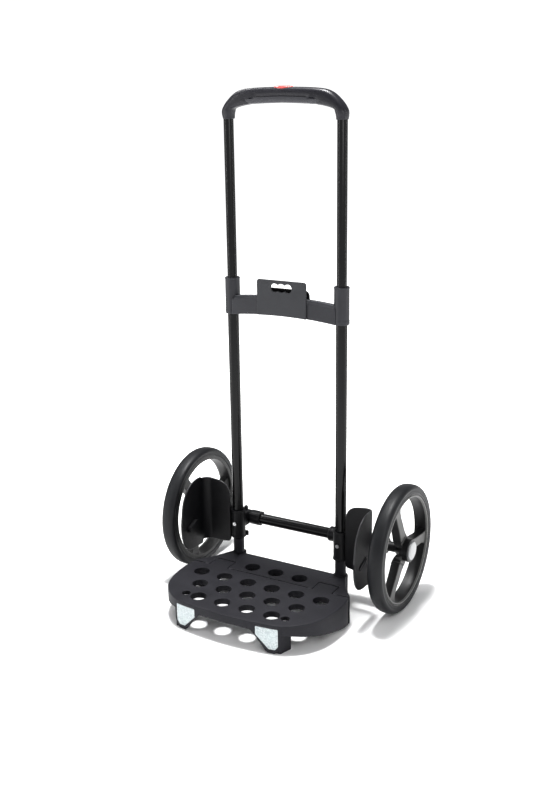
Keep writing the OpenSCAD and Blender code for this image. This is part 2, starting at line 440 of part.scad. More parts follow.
// ---- parts ---------------------------------------------------------------
lower_tube(-1);  // lower_tube_left
lower_tube(1);  // lower_tube_right
tube_end_plugs();
crossbar();
hook_plate();
crossbar_cover();
crossbar_screws();
sleeve_bush(-1);  // sleeve_bush_left
sleeve_bush(1);  // sleeve_bush_right
bracket(-1);  // bracket_left
bracket(1);  // bracket_right
bracket_screws();
axle_tube();
axle_pin(-1);  // axle_pin_left
axle_pin(1);  // axle_pin_right
thrust_washers();
guard(-1);  // guard_left
guard(1);  // guard_right
guard_screws();
platform_rear_all();  // platform_rear
platform_screws();
hinge_pins();
platform_flap();
reflector(-1);  // reflector_left
reflector(1);  // reflector_right
rim(-1);  // rim_left
rim(1);  // rim_right
tyre(-1);  // tyre_left
tyre(1);  // tyre_right
wheel_bushes(-1);  // wheel_bushes_left
wheel_bushes(1);  // wheel_bushes_right
wheel_latch(-1);  // wheel_latch_left
wheel_latch(1);  // wheel_latch_right
hub_cap(-1);  // hub_cap_left
hub_cap(1);  // hub_cap_right
cap_spring(-1);  // cap_spring_left
cap_spring(1);  // cap_spring_right
upper_tube(-1);  // upper_tube_left
upper_tube(1);  // upper_tube_right
tube_foot(-1);  // tube_foot_left
tube_foot(1);  // tube_foot_right
lock_spring(-1);  // lock_spring_left
lock_spring(1);  // lock_spring_right
grip_cover();
grip_base();
grip_screws();
release_button();
release_bar();
push_rod(-1);  // push_rod_left
push_rod(1);  // push_rod_right
button_spring();
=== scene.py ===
import json
import math
import bpy
import bmesh
from mathutils import Vector, Matrix
from mathutils.geometry import delaunay_2d_cdt

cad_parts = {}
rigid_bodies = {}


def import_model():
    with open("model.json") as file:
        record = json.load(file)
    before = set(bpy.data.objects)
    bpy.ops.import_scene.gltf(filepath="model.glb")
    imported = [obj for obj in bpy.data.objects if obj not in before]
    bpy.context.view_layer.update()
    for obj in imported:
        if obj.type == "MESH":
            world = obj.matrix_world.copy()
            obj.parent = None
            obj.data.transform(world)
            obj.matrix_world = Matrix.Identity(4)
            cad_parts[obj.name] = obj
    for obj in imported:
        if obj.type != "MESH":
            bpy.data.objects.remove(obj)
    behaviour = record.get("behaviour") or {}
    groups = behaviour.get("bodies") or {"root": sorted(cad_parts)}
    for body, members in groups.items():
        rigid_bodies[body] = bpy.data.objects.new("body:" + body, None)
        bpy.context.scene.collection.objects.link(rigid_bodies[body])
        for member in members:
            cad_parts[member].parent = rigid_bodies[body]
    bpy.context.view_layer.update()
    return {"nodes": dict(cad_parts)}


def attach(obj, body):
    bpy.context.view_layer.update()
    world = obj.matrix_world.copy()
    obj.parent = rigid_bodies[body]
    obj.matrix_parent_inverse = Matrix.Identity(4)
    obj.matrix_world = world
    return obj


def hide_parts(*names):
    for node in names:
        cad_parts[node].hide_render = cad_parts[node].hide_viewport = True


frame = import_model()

NODES = frame["nodes"]
SC = 0.001               # shapes below are written in millimetres
TY = 47.5                # plane of the uprights
HX = 118.0               # half track of the uprights
AY, AZ = TY + 30.4, 127.1
DECK_Z, DECK_T = 57.8, 3.2
HINGE_Y, HINGE_Z = -83.0, 53.8


# ---------------------------------------------------------------- numbers
def cr(a, b, c, d, t):
    return 0.5 * ((2 * b) + (c - a) * t + (2 * a - 5 * b + 4 * c - d) * t * t + (3 * b - a - 3 * c + d) * t * t * t)


def smooth(p, n):
    out = []
    for i in range(len(p) - 1):
        q = [p[max(0, i - 1)], p[i], p[i + 1], p[min(len(p) - 1, i + 2)]]
        for k in range(n):
            t = k / n
            out.append(tuple(cr(q[0][j], q[1][j], q[2][j], q[3][j], t) for j in range(len(p[0]))))
    out.append(tuple(p[-1]))
    return out


def lerp(a, b, t):
    return a + (b - a) * t


def sstep(a, b, x):
    t = min(1.0, max(0.0, (x - a) / (b - a)))
    return t * t * (3 - 2 * t)


def interp(tab, x):
    """Value at x on a list of (x, value) in rising x."""
    if x <= tab[0][0]:
        return tab[0][1]
    for (x0, v0), (x1, v1) in zip(tab, tab[1:]):
        if x <= x1:
            return v0 + (v1 - v0) * (x - x0) / (x1 - x0)
    return tab[-1][1]


def area(p):
    return 0.5 * sum(p[i][0] * p[(i + 1) % len(p)][1] - p[(i + 1) % len(p)][0] * p[i][1] for i in range(len(p)))


def ccw(p):
    return list(p) if area(p) > 0 else list(reversed(p))


def rounded(pts, radii, seg=5, closed=True):
    """Polygon with its corners rounded; radii is a number or a list."""
    n = len(pts)
    if not hasattr(radii, "__len__"):
        radii = [radii] * n
    out = []
    for i in range(n):
        b = Vector(pts[i][:2])
        r = radii[i]
        if r <= 0 or (not closed and i in (0, n - 1)):
            out.append((b.x, b.y))
            continue
        a, c = Vector(pts[(i - 1) % n][:2]), Vector(pts[(i + 1) % n][:2])
        u, v = (a - b), (c - b)
        lu, lv = u.length, v.length
        u, v = u / lu, v / lv
        ang = math.acos(max(-1.0, min(1.0, u.dot(v))))
        if ang > math.pi - 0.02:
            out.append((b.x, b.y))
            continue
        t = min(r / math.tan(ang / 2), 0.49 * lu, 0.49 * lv)
        r = t * math.tan(ang / 2)
        cen = b + (u + v).normalized() * (r / math.sin(ang / 2))
        s, e = b + u * t, b + v * t
        a0 = math.atan2(s.y - cen.y, s.x - cen.x)
        a1 = math.atan2(e.y - cen.y, e.x - cen.x)
        d = (a1 - a0 + math.pi) % (2 * math.pi) - math.pi
        for k in range(seg + 1):
            q = a0 + d * k / seg
            out.append((cen.x + r * math.cos(q), cen.y + r * math.sin(q)))
    return out


def circle(cx, cy, r, n=40, a0=0.0):
    return [(cx + r * math.cos(a0 + 2 * math.pi * k / n), cy + r * math.sin(a0 + 2 * math.pi * k / n)) for k in range(n)]


def poly_normals(p):
    """Outward normals with mitre length for a counter-clockwise closed polygon."""
    n = len(p)
    out = []
    for i in range(n):
        j = i
        a = Vector(p[(i - 1) % n][:2])
        b = Vector(p[i][:2])
        c = Vector(p[(i + 1) % n][:2])
        k = 2
        while (b - a).length < 1e-4 and k < n:
            a = Vector(p[(i - k) % n][:2])
            k += 1
        k = 2
        while (c - b).length < 1e-4 and k < n:
            c = Vector(p[(i + k) % n][:2])
            k += 1
        d0, d1 = (b - a).normalized(), (c - b).normalized()
        n0, n1 = Vector((d0.y, -d0.x)), Vector((d1.y, -d1.x))
        m = n0 + n1
        if m.length < 1e-6:
            m = n0
        m.normalize()
        out.append(m / max(0.45, m.dot(n0)))
    return out


def moved(p, d, nrm=None):
    """Closed counter-clockwise polygon moved outwards by d."""
    nrm = nrm or poly_normals(p)
    return [(q[0] + n.x * d, q[1] + n.y * d) for q, n in zip(p, nrm)]


def inside(pt, poly):
    x, y = pt
    c = False
    n = len(poly)
    j = n - 1
    for i in range(n):
        xi, yi = poly[i][0], poly[i][1]
        xj, yj = poly[j][0], poly[j][1]
        if (yi > y) != (yj > y) and x < (xj - xi) * (y - yi) / (yj - yi) + xi:
            c = not c
        j = i
    return c


AXES = {"z": lambda a, b, d: (a, b, d), "x": lambda a, b, d: (d, a, b), "y": lambda a, b, d: (a, d, b)}


# ---------------------------------------------------------------- shells
class Shell:
    """Points and faces in millimetres, with one material index for each face."""

    def __init__(self):
        self.v, self.f, self.m = [], [], []

    def add(self, vs, fs, mi=0):
        o = len(self.v)
        self.v += [tuple(p) for p in vs]
        self.f += [tuple(i + o for i in f) for f in fs]
        self.m += [mi] * len(fs)

    def loft(self, rings, wrap=False, caps=(True, True), mi=0, closed=True, cols=(), mc=0):
        n, m = len(rings[0]), len(rings)
        fs, k0 = [], len(self.m)
        for i in range(m if wrap else m - 1):
            for j in range(n if closed else n - 1):
                a, b = i * n + j, i * n + (j + 1) % n
                c, d = ((i + 1) % m) * n + (j + 1) % n, ((i + 1) % m) * n + j
                fs.append((a, b, c, d))
        if closed and not wrap:
            if caps[0]:
                fs.append(tuple(reversed(range(n))))
            if caps[1]:
                fs.append(tuple(range((m - 1) * n, m * n)))
        self.add([p for r in rings for p in r], fs, mi)
        if cols:
            cs = set(cols)
            for i in range(m if wrap else m - 1):
                for j in range(n if closed else n - 1):
                    if j in cs:
                        self.m[k0 + i * (n if closed else n - 1) + j] = mc

    def prism(self, poly, axis, d0, d1, e=0.6, seg=3, mi=0, e1=None):
        """Extruded outline with rounded edges of radius e (and e1 at the far end)."""
        poly = ccw(poly)
        nrm = poly_normals(poly)
        f = AXES[axis]
        e1 = e if e1 is None else e1
        if e > 0:
            rings = [[f(x, y, d0 + e * (1 - math.cos(math.pi / 2 * k / seg))) for x, y in moved(poly, -e * (1 - math.sin(math.pi / 2 * k / seg)), nrm)] for k in range(seg + 1)]
        else:
            rings = [[f(x, y, d0) for x, y in poly]]
        last = [[f(x, y, d1 - e1 * (1 - math.cos(math.pi / 2 * k / seg))) for x, y in moved(poly, -e1 * (1 - math.sin(math.pi / 2 * k / seg)), nrm)] for k in range(seg, -1, -1)] if e1 > 0 else [[f(x, y, d1) for x, y in poly]]
        self.loft(rings + last, mi=mi)

    def box(self, lo, hi, r=0.8, seg=2, mi=0, rc=None):
        lo, hi = [min(a, b) for a, b in zip(lo, hi)], [max(a, b) for a, b in zip(lo, hi)]
        rc = rc if rc is not None else r
        p = rounded([(lo[0], lo[1]), (hi[0], lo[1]), (hi[0], hi[1]), (lo[0], hi[1])], rc, 3)
        self.prism(p, "z", lo[2], hi[2], r, seg, mi)

    def rev(self, prof, axis, origin, seg=64, wrap=True, mi=0):
        """Profile of (radius, distance) turned about an axis through origin."""
        rings = []
        for r, t in prof:
            ring = []
            for k in range(seg):
                a = 2 * math.pi * k / seg
                u, v = r * math.cos(a), r * math.sin(a)
                if axis == "z":
                    ring.append((origin[0] + u, origin[1] + v, origin[2] + t))
                elif axis == "x":
                    ring.append((origin[0] + t, origin[1] + u, origin[2] + v))
                else:
                    ring.append((origin[0] + u, origin[1] + t, origin[2] + v))
            rings.append(ring)
        self.loft(rings, wrap=wrap, caps=(False, False), mi=mi)

    def fill(self, outer, holes, axis, d, mi=0):
        """Flat face with holes."""
        vs, es = [], []
        for loop in [outer] + list(holes):
            o = len(vs)
            n = len(loop)
            vs += [Vector((p[0], p[1])) for p in loop]
            es += [(o + i, o + (i + 1) % n) for i in range(n)]
        r = delaunay_2d_cdt(vs, es, [], 1, 1e-5)
        fs = []
        for t in r[2]:
            c = (sum(r[0][i].x for i in t) / len(t), sum(r[0][i].y for i in t) / len(t))
            if inside(c, outer) and not any(inside(c, h) for h in holes):
                fs.append(tuple(t))
        f = AXES[axis]
        self.add([f(p.x, p.y, d) for p in r[0]], fs, mi)

    def plate(self, outer, holes, axis, d0, d1, e=0.6, eh=0.5, seg=3, mi=0):
        """Flat plate with holes, all its edges rounded. Holes are closed outlines."""
        outer = ccw(outer)
        loops = [(outer, -1.0, e)] + [(ccw(h), 1.0, eh) for h in holes]
        f = AXES[axis]
        for loop, sgn, rr in loops:
            nrm = poly_normals(loop)
            rings = [[f(x, y, d0 + rr * (1 - math.cos(math.pi / 2 * k / seg))) for x, y in moved(loop, sgn * rr * (1 - math.sin(math.pi / 2 * k / seg)), nrm)] for k in range(seg + 1)]
            rings += [[f(x, y, d1 - rr * (1 - math.cos(math.pi / 2 * k / seg))) for x, y in moved(loop, sgn * rr * (1 - math.sin(math.pi / 2 * k / seg)), nrm)] for k in range(seg, -1, -1)]
            self.loft(rings, caps=(False, False), mi=mi)
        for d in (d0, d1):
            self.fill(moved(outer, -e), [moved(ccw(h), eh) for h in holes], axis, d, mi)

    def mirrored(self, other):
        o = len(self.v)
        self.v += [(-x, y, z) for x, y, z in other.v]
        self.f += [tuple(reversed([i + o for i in f])) for f in other.f]
        self.m += list(other.m)

    def mapped(self, fn):
        self.v = [fn(*p) for p in self.v]
        return self


def make(name, sh, mats, body, nodes, sharp=38, merge=2e-6, weight=True, mirror=False):
    me = bpy.data.meshes.new(name)
    s = -1.0 if mirror else 1.0
    me.from_pydata([(s * x * SC, y * SC, z * SC) for x, y, z in sh.v], [], [list(reversed(f)) if mirror else f for f in sh.f])
    for m in mats if isinstance(mats, (list, tuple)) else [mats]:
        me.materials.append(m)
    me.polygons.foreach_set("material_index", sh.m)
    bm = bmesh.new()
    bm.from_mesh(me)
    bmesh.ops.remove_doubles(bm, verts=bm.verts, dist=merge)
    bmesh.ops.dissolve_degenerate(bm, edges=bm.edges, dist=1e-7)
    loose = [v for v in bm.verts if not v.link_faces]
    bmesh.ops.delete(bm, geom=loose, context="VERTS")
    bmesh.ops.recalc_face_normals(bm, faces=bm.faces)
    shade(bm, sharp)
    bm.to_mesh(me)
    bm.free()
    me.update()
    ob = bpy.data.objects.new(name, me)
    bpy.context.scene.collection.objects.link(ob)
    if weight:
        w = ob.modifiers.new("normals", "WEIGHTED_NORMAL")
        w.keep_sharp = True
    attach(ob, body)
    if nodes:
        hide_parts(*([nodes] if isinstance(nodes, str) else nodes))
    return ob


def shade(bm, sharp):
    for f in bm.faces:
        f.smooth = True
    lim = math.radians(sharp)
    for e in bm.edges:
        e.smooth = not (len(e.link_faces) != 2 or e.calc_face_angle(0.0) > lim)


def cut(ob, shells, sharp=38):
    """Exact cut of shells out of ob, applied to its mesh."""
    me = bpy.data.meshes.new("cutter")
    vs, fs = [], []
    for sh in shells:
        o = len(vs)
        vs += [(x * SC, y * SC, z * SC) for x, y, z in sh.v]
        fs += [tuple(i + o for i in f) for f in sh.f]
    me.from_pydata(vs, [], fs)
    bm = bmesh.new()
    bm.from_mesh(me)
    bmesh.ops.remove_doubles(bm, verts=bm.verts, dist=2e-6)
    bmesh.ops.recalc_face_normals(bm, faces=bm.faces)
    bm.to_mesh(me)
    bm.free()
    c = bpy.data.objects.new("cutter", me)
    bpy.context.scene.collection.objects.link(c)
    parent, inv = ob.parent, ob.matrix_parent_inverse.copy()
    m = ob.modifiers.new("cut", "BOOLEAN")
    m.operation, m.object, m.solver = "DIFFERENCE", c, "EXACT"
    ob.modifiers.move(len(ob.modifiers) - 1, 0)
    for o in ob.modifiers:
        o.show_viewport = o.name == "cut"
    def solve(solver, own):
        m.solver, m.use_self = solver, own
        dg = bpy.context.evaluated_depsgraph_get()
        dg.update()
        return bpy.data.meshes.new_from_object(ob.evaluated_get(dg))

    new = solve("EXACT", False)
    if len(new.polygons) < 30:
        # an uneven start mesh: clean it and solve again
        bm = bmesh.new()
        bm.from_mesh(ob.data)
        bmesh.ops.remove_doubles(bm, verts=bm.verts, dist=5e-6)
        bmesh.ops.triangulate(bm, faces=[f for f in bm.faces if len(f.verts) > 4])
        bmesh.ops.recalc_face_normals(bm, faces=bm.faces)
        bm.to_mesh(ob.data)
        bm.free()
        for solver, own in (("EXACT", False), ("EXACT", True), ("MANIFOLD", False)):
            new = solve(solver, own)
            print("cut again", ob.name, solver, own, len(new.polygons))
            if len(new.polygons) >= 30:
                break
        else:
            new = ob.data.copy()
    ob.modifiers.remove(ob.modifiers["cut"])
    for o in ob.modifiers:
        o.show_viewport = True
    bm = bmesh.new()
    bm.from_mesh(new)
    bmesh.ops.dissolve_degenerate(bm, edges=bm.edges, dist=1e-7)
    shade(bm, sharp)
    bm.to_mesh(new)
    bm.free()
    new.name = ob.name
    ob.data = new
    bpy.data.objects.remove(c)


# ---------------------------------------------------------------- materials
def nodes_of(name):
    m = bpy.data.materials.new(name)
    m.use_nodes = True
    nt = m.node_tree
    for n in list(nt.nodes):
        nt.nodes.remove(n)
    out = nt.nodes.new("ShaderNodeOutputMaterial")
    b = nt.nodes.new("ShaderNodeBsdfPrincipled")
    nt.links.new(b.outputs[0], out.inputs[0])
    return m, nt, b


def moulded(name, base, rough=0.5, var=0.18, grain=1500.0, bump=0.12, wear_and_edge_highlight=0.25, wear_and_highlight_col=None, metallic=0.0, coat=0.0,
            spec=0.5, mottle=38.0, rough_var=0.08, streak=None, dust=0.0, bump_dist=0.0002, speck=0.35, coat_rough=0.12):
    """Surface with mottled colour, fine grain, lighter edges (partly wear, partly a painted edge highlight) and a
    varying gloss.
    """
    m, nt, b = nodes_of(name)
    N, L = nt.nodes.new, nt.links.new
    tc = N("ShaderNodeTexCoord")
    src = tc.outputs["Object"]
    if streak:
        mp = N("ShaderNodeMapping")
        mp.inputs["Scale"].default_value = streak
        L(src, mp.inputs["Vector"])
        fine_src = mp.outputs[0]
    else:
        fine_src = src
    big = N("ShaderNodeTexNoise")
    big.inputs["Scale"].default_value = mottle
    big.inputs["Detail"].default_value = 4
    big.inputs["Roughness"].default_value = 0.6
    L(src, big.inputs["Vector"])
    fine = N("ShaderNodeTexNoise")
    fine.inputs["Scale"].default_value = grain
    fine.inputs["Detail"].default_value = 3
    L(fine_src, fine.inputs["Vector"])
    ramp = N("ShaderNodeValToRGB")
    ramp.color_ramp.elements[0].position = 0.3
    ramp.color_ramp.elements[1].position = 0.72
    lo = [c * (1 - var) for c in base]
    hi = [min(1.0, c * (1 + var)) for c in base]
    ramp.color_ramp.elements[0].color = (*lo, 1)
    ramp.color_ramp.elements[1].color = (*hi, 1)
    L(big.outputs["Fac"], ramp.inputs[0])
    col = ramp.outputs[0]
    # fine speckle
    sp = N("ShaderNodeMix")
    sp.data_type = "RGBA"
    sp.blend_type = "MULTIPLY"
    sp.inputs[0].default_value = speck
    rs = N("ShaderNodeValToRGB")
    rs.color_ramp.elements[0].position, rs.color_ramp.elements[1].position = 0.35, 0.65
    rs.color_ramp.elements[0].color = (0.72, 0.72, 0.72, 1)
    rs.color_ramp.elements[1].color = (1.0, 1.0, 1.0, 1)
    L(fine.outputs["Fac"], rs.inputs[0])
    L(col, sp.inputs[6])
    L(rs.outputs[0], sp.inputs[7])
    col = sp.outputs[2]
    # lighter colour on sharp edges (Pointiness): partly edge wear, partly a painted edge highlight
    if wear_and_edge_highlight > 0:
        geo = N("ShaderNodeNewGeometry")
        wr = N("ShaderNodeValToRGB")
        wr.color_ramp.elements[0].position, wr.color_ramp.elements[1].position = 0.515, 0.62
        wr.color_ramp.elements[0].color = (0, 0, 0, 1)
        wr.color_ramp.elements[1].color = (wear_and_edge_highlight, wear_and_edge_highlight, wear_and_edge_highlight, 1)
        L(geo.outputs["Pointiness"], wr.inputs[0])
        br = N("ShaderNodeMath")
        br.operation = "MULTIPLY"
        L(wr.outputs[0], br.inputs[0])
        n3 = N("ShaderNodeTexNoise")
        n3.inputs["Scale"].default_value = 220.0
        n3.inputs["Detail"].default_value = 3
        L(src, n3.inputs["Vector"])
        L(n3.outputs["Fac"], br.inputs[1])
        wm = N("ShaderNodeMix")
        wm.data_type = "RGBA"
        wc = wear_and_highlight_col or [min(1.0, c * 2.6 + 0.04) for c in base]
        wm.inputs[7].default_value = (*wc, 1)
        L(br.outputs[0], wm.inputs[0])
        L(col, wm.inputs[6])
        col = wm.outputs[2]
    if dust > 0:
        g2 = N("ShaderNodeNewGeometry")
        sx = N("ShaderNodeSeparateXYZ")
        L(g2.outputs["Normal"], sx.inputs[0])
        mr = N("ShaderNodeMapRange")
        mr.inputs["From Min"].default_value, mr.inputs["From Max"].default_value = 0.6, 1.0
        mr.inputs["To Min"].default_value, mr.inputs["To Max"].default_value = 0.0, dust
        L(sx.outputs["Z"], mr.inputs["Value"])
        dn = N("ShaderNodeMath")
        dn.operation = "MULTIPLY"
        L(mr.outputs[0], dn.inputs[0])
        L(big.outputs["Fac"], dn.inputs[1])
        dm = N("ShaderNodeMix")
        dm.data_type = "RGBA"
        dm.inputs[7].default_value = (0.28, 0.27, 0.27, 1)
        L(dn.outputs[0], dm.inputs[0])
        L(col, dm.inputs[6])
        col = dm.outputs[2]
    L(col, b.inputs["Base Color"])
    mr = N("ShaderNodeMapRange")
    mr.inputs["From Min"].default_value, mr.inputs["From Max"].default_value = 0.25, 0.75
    mr.inputs["To Min"].default_value, mr.inputs["To Max"].default_value = max(0.03, rough - rough_var), min(1.0, rough + rough_var)
    ad = N("ShaderNodeMix")
    ad.data_type = "FLOAT"
    ad.inputs[0].default_value = 0.4
    L(big.outputs["Fac"], ad.inputs[2])
    L(fine.outputs["Fac"], ad.inputs[3])
    L(ad.outputs[0], mr.inputs["Value"])
    L(mr.outputs[0], b.inputs["Roughness"])
    bp = N("ShaderNodeBump")
    bp.inputs["Strength"].default_value = bump
    bp.inputs["Distance"].default_value = bump_dist
    L(fine.outputs["Fac"], bp.inputs["Height"])
    L(bp.outputs[0], b.inputs["Normal"])
    b.inputs["Metallic"].default_value = metallic
    b.inputs["Specular IOR Level"].default_value = spec
    b.inputs["Coat Weight"].default_value = coat
    b.inputs["Coat Roughness"].default_value = coat_rough
    return m


M = {
    "tube": moulded("tube_black_paint", (0.0048, 0.0048, 0.0054), rough=0.19, var=0.16, grain=420, bump=0.01, wear_and_edge_highlight=0.08, mottle=14, rough_var=0.03, spec=0.24, speck=0.08),
    "tube_upper": moulded("tube_black_anodised", (0.005, 0.005, 0.0056), rough=0.21, var=0.12, grain=900, bump=0.01, wear_and_edge_highlight=0.08, mottle=18, rough_var=0.03, spec=0.24, speck=0.08),
    "grip": moulded("grip_soft_black", (0.0125, 0.0122, 0.017), rough=0.38, var=0.14, grain=1900, bump=0.06, wear_and_edge_highlight=0.12, mottle=30, rough_var=0.05, spec=0.38, speck=0.15),
    "base": moulded("grip_base_charcoal", (0.034, 0.034, 0.041), rough=0.36, var=0.1, grain=1700, bump=0.06, wear_and_edge_highlight=0.15, spec=0.4, speck=0.15),
    "bar": moulded("crossbar_charcoal", (0.03, 0.0305, 0.0355), rough=0.46, var=0.12, grain=1500, bump=0.16, wear_and_edge_highlight=0.5, wear_and_highlight_col=(0.16, 0.165, 0.18), mottle=34, spec=0.3, speck=0.2),
    "bar_ridge_highlight": moulded("crossbar_ridge_painted_highlight", (0.085, 0.087, 0.098), rough=0.4, var=0.2, grain=1300, bump=0.14, wear_and_edge_highlight=0.4, wear_and_highlight_col=(0.25, 0.25, 0.27), mottle=60, spec=0.4, speck=0.2),
    "plate": moulded("hook_plate_charcoal", (0.038, 0.039, 0.0435), rough=0.5, var=0.1, grain=1500, bump=0.16, wear_and_edge_highlight=0.3, mottle=30, spec=0.28, speck=0.2),
    "black": moulded("moulded_black", (0.0055, 0.0055, 0.0068), rough=0.42, var=0.2, grain=1400, bump=0.12, wear_and_edge_highlight=0.2, mottle=45, spec=0.24, speck=0.25),
    "black_edge_wear_and_highlight": moulded("moulded_black_edge_wear_and_highlight", (0.03, 0.03, 0.033), rough=0.4, var=0.25, grain=1100, bump=0.12, wear_and_edge_highlight=0.3, wear_and_highlight_col=(0.12, 0.12, 0.125), mottle=60, spec=0.4, speck=0.25),
    "shade_black": moulded("shadow_side_black", (0.002, 0.002, 0.0022), rough=0.8, var=0.2, grain=1100, bump=0.1, wear_and_edge_highlight=0.0, mottle=60, spec=0.1, speck=0.25),
    # platform: strong edge lightening that paints the light highlight line along the hinge seam
    "deck": moulded("platform_charcoal", (0.0195, 0.0193, 0.0238), rough=0.52, var=0.12, grain=1250, bump=0.18, wear_and_edge_highlight=0.5, wear_and_highlight_col=(0.09, 0.09, 0.1), mottle=26, dust=0.02, spec=0.2, speck=0.25),
    "tyre": moulded("tyre_rubber", (0.0105, 0.0112, 0.013), rough=0.46, var=0.14, grain=1100, bump=0.16, wear_and_edge_highlight=0.15, mottle=30, rough_var=0.07, dust=0.01, spec=0.26, speck=0.25),
    "rim": moulded("rim_black", (0.0098, 0.0098, 0.0105), rough=0.4, var=0.14, grain=1400, bump=0.12, wear_and_edge_highlight=0.35, wear_and_highlight_col=(0.14, 0.14, 0.135), mottle=40, spec=0.35, speck=0.2),
    "rim_face": moulded("rim_face_painted_light", (0.055, 0.055, 0.054), rough=0.42, var=0.16, grain=1200, bump=0.12, wear_and_edge_highlight=0.35, wear_and_highlight_col=(0.16, 0.16, 0.155), mottle=50, spec=0.4, speck=0.2),
    "lip": moulded("rim_lip_painted_highlight", (0.13, 0.13, 0.128), rough=0.4, var=0.22, grain=900, bump=0.14, wear_and_edge_highlight=0.3, wear_and_highlight_col=(0.3, 0.3, 0.29), mottle=60, spec=0.5),
    "steel": moulded("zinc_steel", (0.62, 0.62, 0.63), rough=0.3, var=0.1, grain=900, bump=0.1, wear_and_edge_highlight=0.0, metallic=1.0, mottle=120, rough_var=0.1),
    "pin": moulded("turned_steel", (0.56, 0.57, 0.58), rough=0.24, var=0.08, grain=1500, bump=0.1, wear_and_edge_highlight=0.0, metallic=1.0, mottle=90, streak=(0.05, 1, 1)),
    "nylon": moulded("nylon_natural", (0.72, 0.7, 0.64), rough=0.45, var=0.06, grain=900, bump=0.1, wear_and_edge_highlight=0.0),
    "cap": moulded("cap_silver_paint", (0.36, 0.365, 0.37), rough=0.34, var=0.06, grain=2300, bump=0.06, wear_and_edge_highlight=0.1, wear_and_highlight_col=(0.3, 0.3, 0.3), metallic=0.2, mottle=80, coat=0.2),
    "ring": moulded("hub_ring_black", (0.008, 0.008, 0.009), rough=0.36, var=0.15, grain=1500, bump=0.08, wear_and_edge_highlight=0.25, spec=0.4),
    "red": moulded("button_red", (0.55, 0.1, 0.092), rough=0.3, var=0.07, grain=1800, bump=0.05, wear_and_edge_highlight=0.15, wear_and_highlight_col=(0.8, 0.35, 0.32), coat=0.5, speck=0.1, coat_rough=0.2),
    "stop": moulded("rubber_plug", (0.012, 0.012, 0.013), rough=0.6, var=0.15, grain=1300, bump=0.15, wear_and_edge_highlight=0.15, spec=0.3),
}


def reflector_material():
    m, nt, b = nodes_of("reflector_prismatic")
    N, L = nt.nodes.new, nt.links.new
    tc = N("ShaderNodeTexCoord")
    vo = N("ShaderNodeTexVoronoi")
    vo.inputs["Scale"].default_value = 330.0
    L(tc.outputs["Object"], vo.inputs["Vector"])
    ramp = N("ShaderNodeValToRGB")
    e = ramp.color_ramp.elements
    e[0].position, e[0].color = 0.0, (0.74, 0.78, 0.785, 1)
    e[1].position, e[1].color = 1.0, (0.36, 0.42, 0.44, 1)
    L(vo.outputs["Distance"], ramp.inputs[0])
    tint = N("ShaderNodeTexNoise")
    tint.inputs["Scale"].default_value = 60.0
    L(tc.outputs["Object"], tint.inputs["Vector"])
    mx = N("ShaderNodeMix")
    mx.data_type = "RGBA"
    mx.inputs[7].default_value = (0.62, 0.69, 0.69, 1)
    fr = N("ShaderNodeMapRange")
    fr.inputs["From Min"].default_value, fr.inputs["From Max"].default_value = 0.35, 0.7
    fr.inputs["To Min"].default_value, fr.inputs["To Max"].default_value = 0.0, 0.45
    L(tint.outputs["Fac"], fr.inputs["Value"])
    L(fr.outputs[0], mx.inputs[0])
    L(ramp.outputs[0], mx.inputs[6])
    L(mx.outputs[2], b.inputs["Base Color"])
    rr = N("ShaderNodeMapRange")
    rr.inputs["To Min"].default_value, rr.inputs["To Max"].default_value = 0.12, 0.3
    L(vo.outputs["Distance"], rr.inputs["Value"])
    L(rr.outputs[0], b.inputs["Roughness"])
    bp = N("ShaderNodeBump")
    bp.inputs["Strength"].default_value = 0.35
    bp.inputs["Distance"].default_value = 0.0004
    L(vo.outputs["Distance"], bp.inputs["Height"])
    L(bp.outputs[0], b.inputs["Normal"])
    b.inputs["Coat Weight"].default_value = 0.6
    b.inputs["Coat Roughness"].default_value = 0.06
    return m


M["reflector"] = reflector_material()

# CAD pieces that keep their shape
KEEP = {
    "tube_end_plugs": "stop", "crossbar_screws": "steel", "sleeve_bush_left": "stop", "sleeve_bush_right": "stop",
    "bracket_screws": "steel", "axle_pin_left": "pin", "axle_pin_right": "pin", "thrust_washers": "nylon", "guard_screws": "steel",
    "platform_screws": "steel", "hinge_pins": "steel", "wheel_bushes_left": "nylon", "wheel_bushes_right": "nylon",
    "wheel_latch_left": "steel", "wheel_latch_right": "steel", "cap_spring_left": "steel", "cap_spring_right": "steel",
    "tube_foot_left": "stop", "tube_foot_right": "stop", "lock_spring_left": "steel", "lock_spring_right": "steel",
    "grip_screws": "steel", "release_bar": "base", "push_rod_left": "steel", "push_rod_right": "steel", "button_spring": "steel",
}
for n, mat in KEEP.items():
    for s in NODES[n].material_slots:
        s.link = "OBJECT"
        s.material = M[mat]


# ---------------------------------------------------------------- tubes
def tube(name, x, r, ri, z0, z1, mat, body, node, holes):
    sh = Shell()
    zs = sorted({z0, z1} | {z for h in holes for z in (h[0] - 8, h[0] + 8) if z0 < z < z1})
    e = 0.35
    prof = [(r - e, z0), (r - 0.1, z0 + 0.1), (r, z0 + e)] + [(r, z) for z in zs[1:-1]] + [(r, z1 - e), (r - 0.1, z1 - 0.1), (r - e, z1), (ri + 0.2, z1), (ri, z1 - 0.2)]
    prof += [(ri, z) for z in reversed(zs[1:-1])] + [(ri, z0 + 0.2), (ri + 0.2, z0)]
    sh.rev(prof, "z", (x, TY, 0), seg=72)
    ob = make(name, sh, mat, body, node)
    cuts = []
    for z, rad, side in holes:
        c = Shell()
        c.rev([(0, 0), (rad, 0), (rad, 14), (0, 14)], "y", (x, TY + 3 if side > 0 else TY - 17, z), seg=24, wrap=False)
        cuts.append(c)
    if cuts:
        cut(ob, cuts)
    return ob


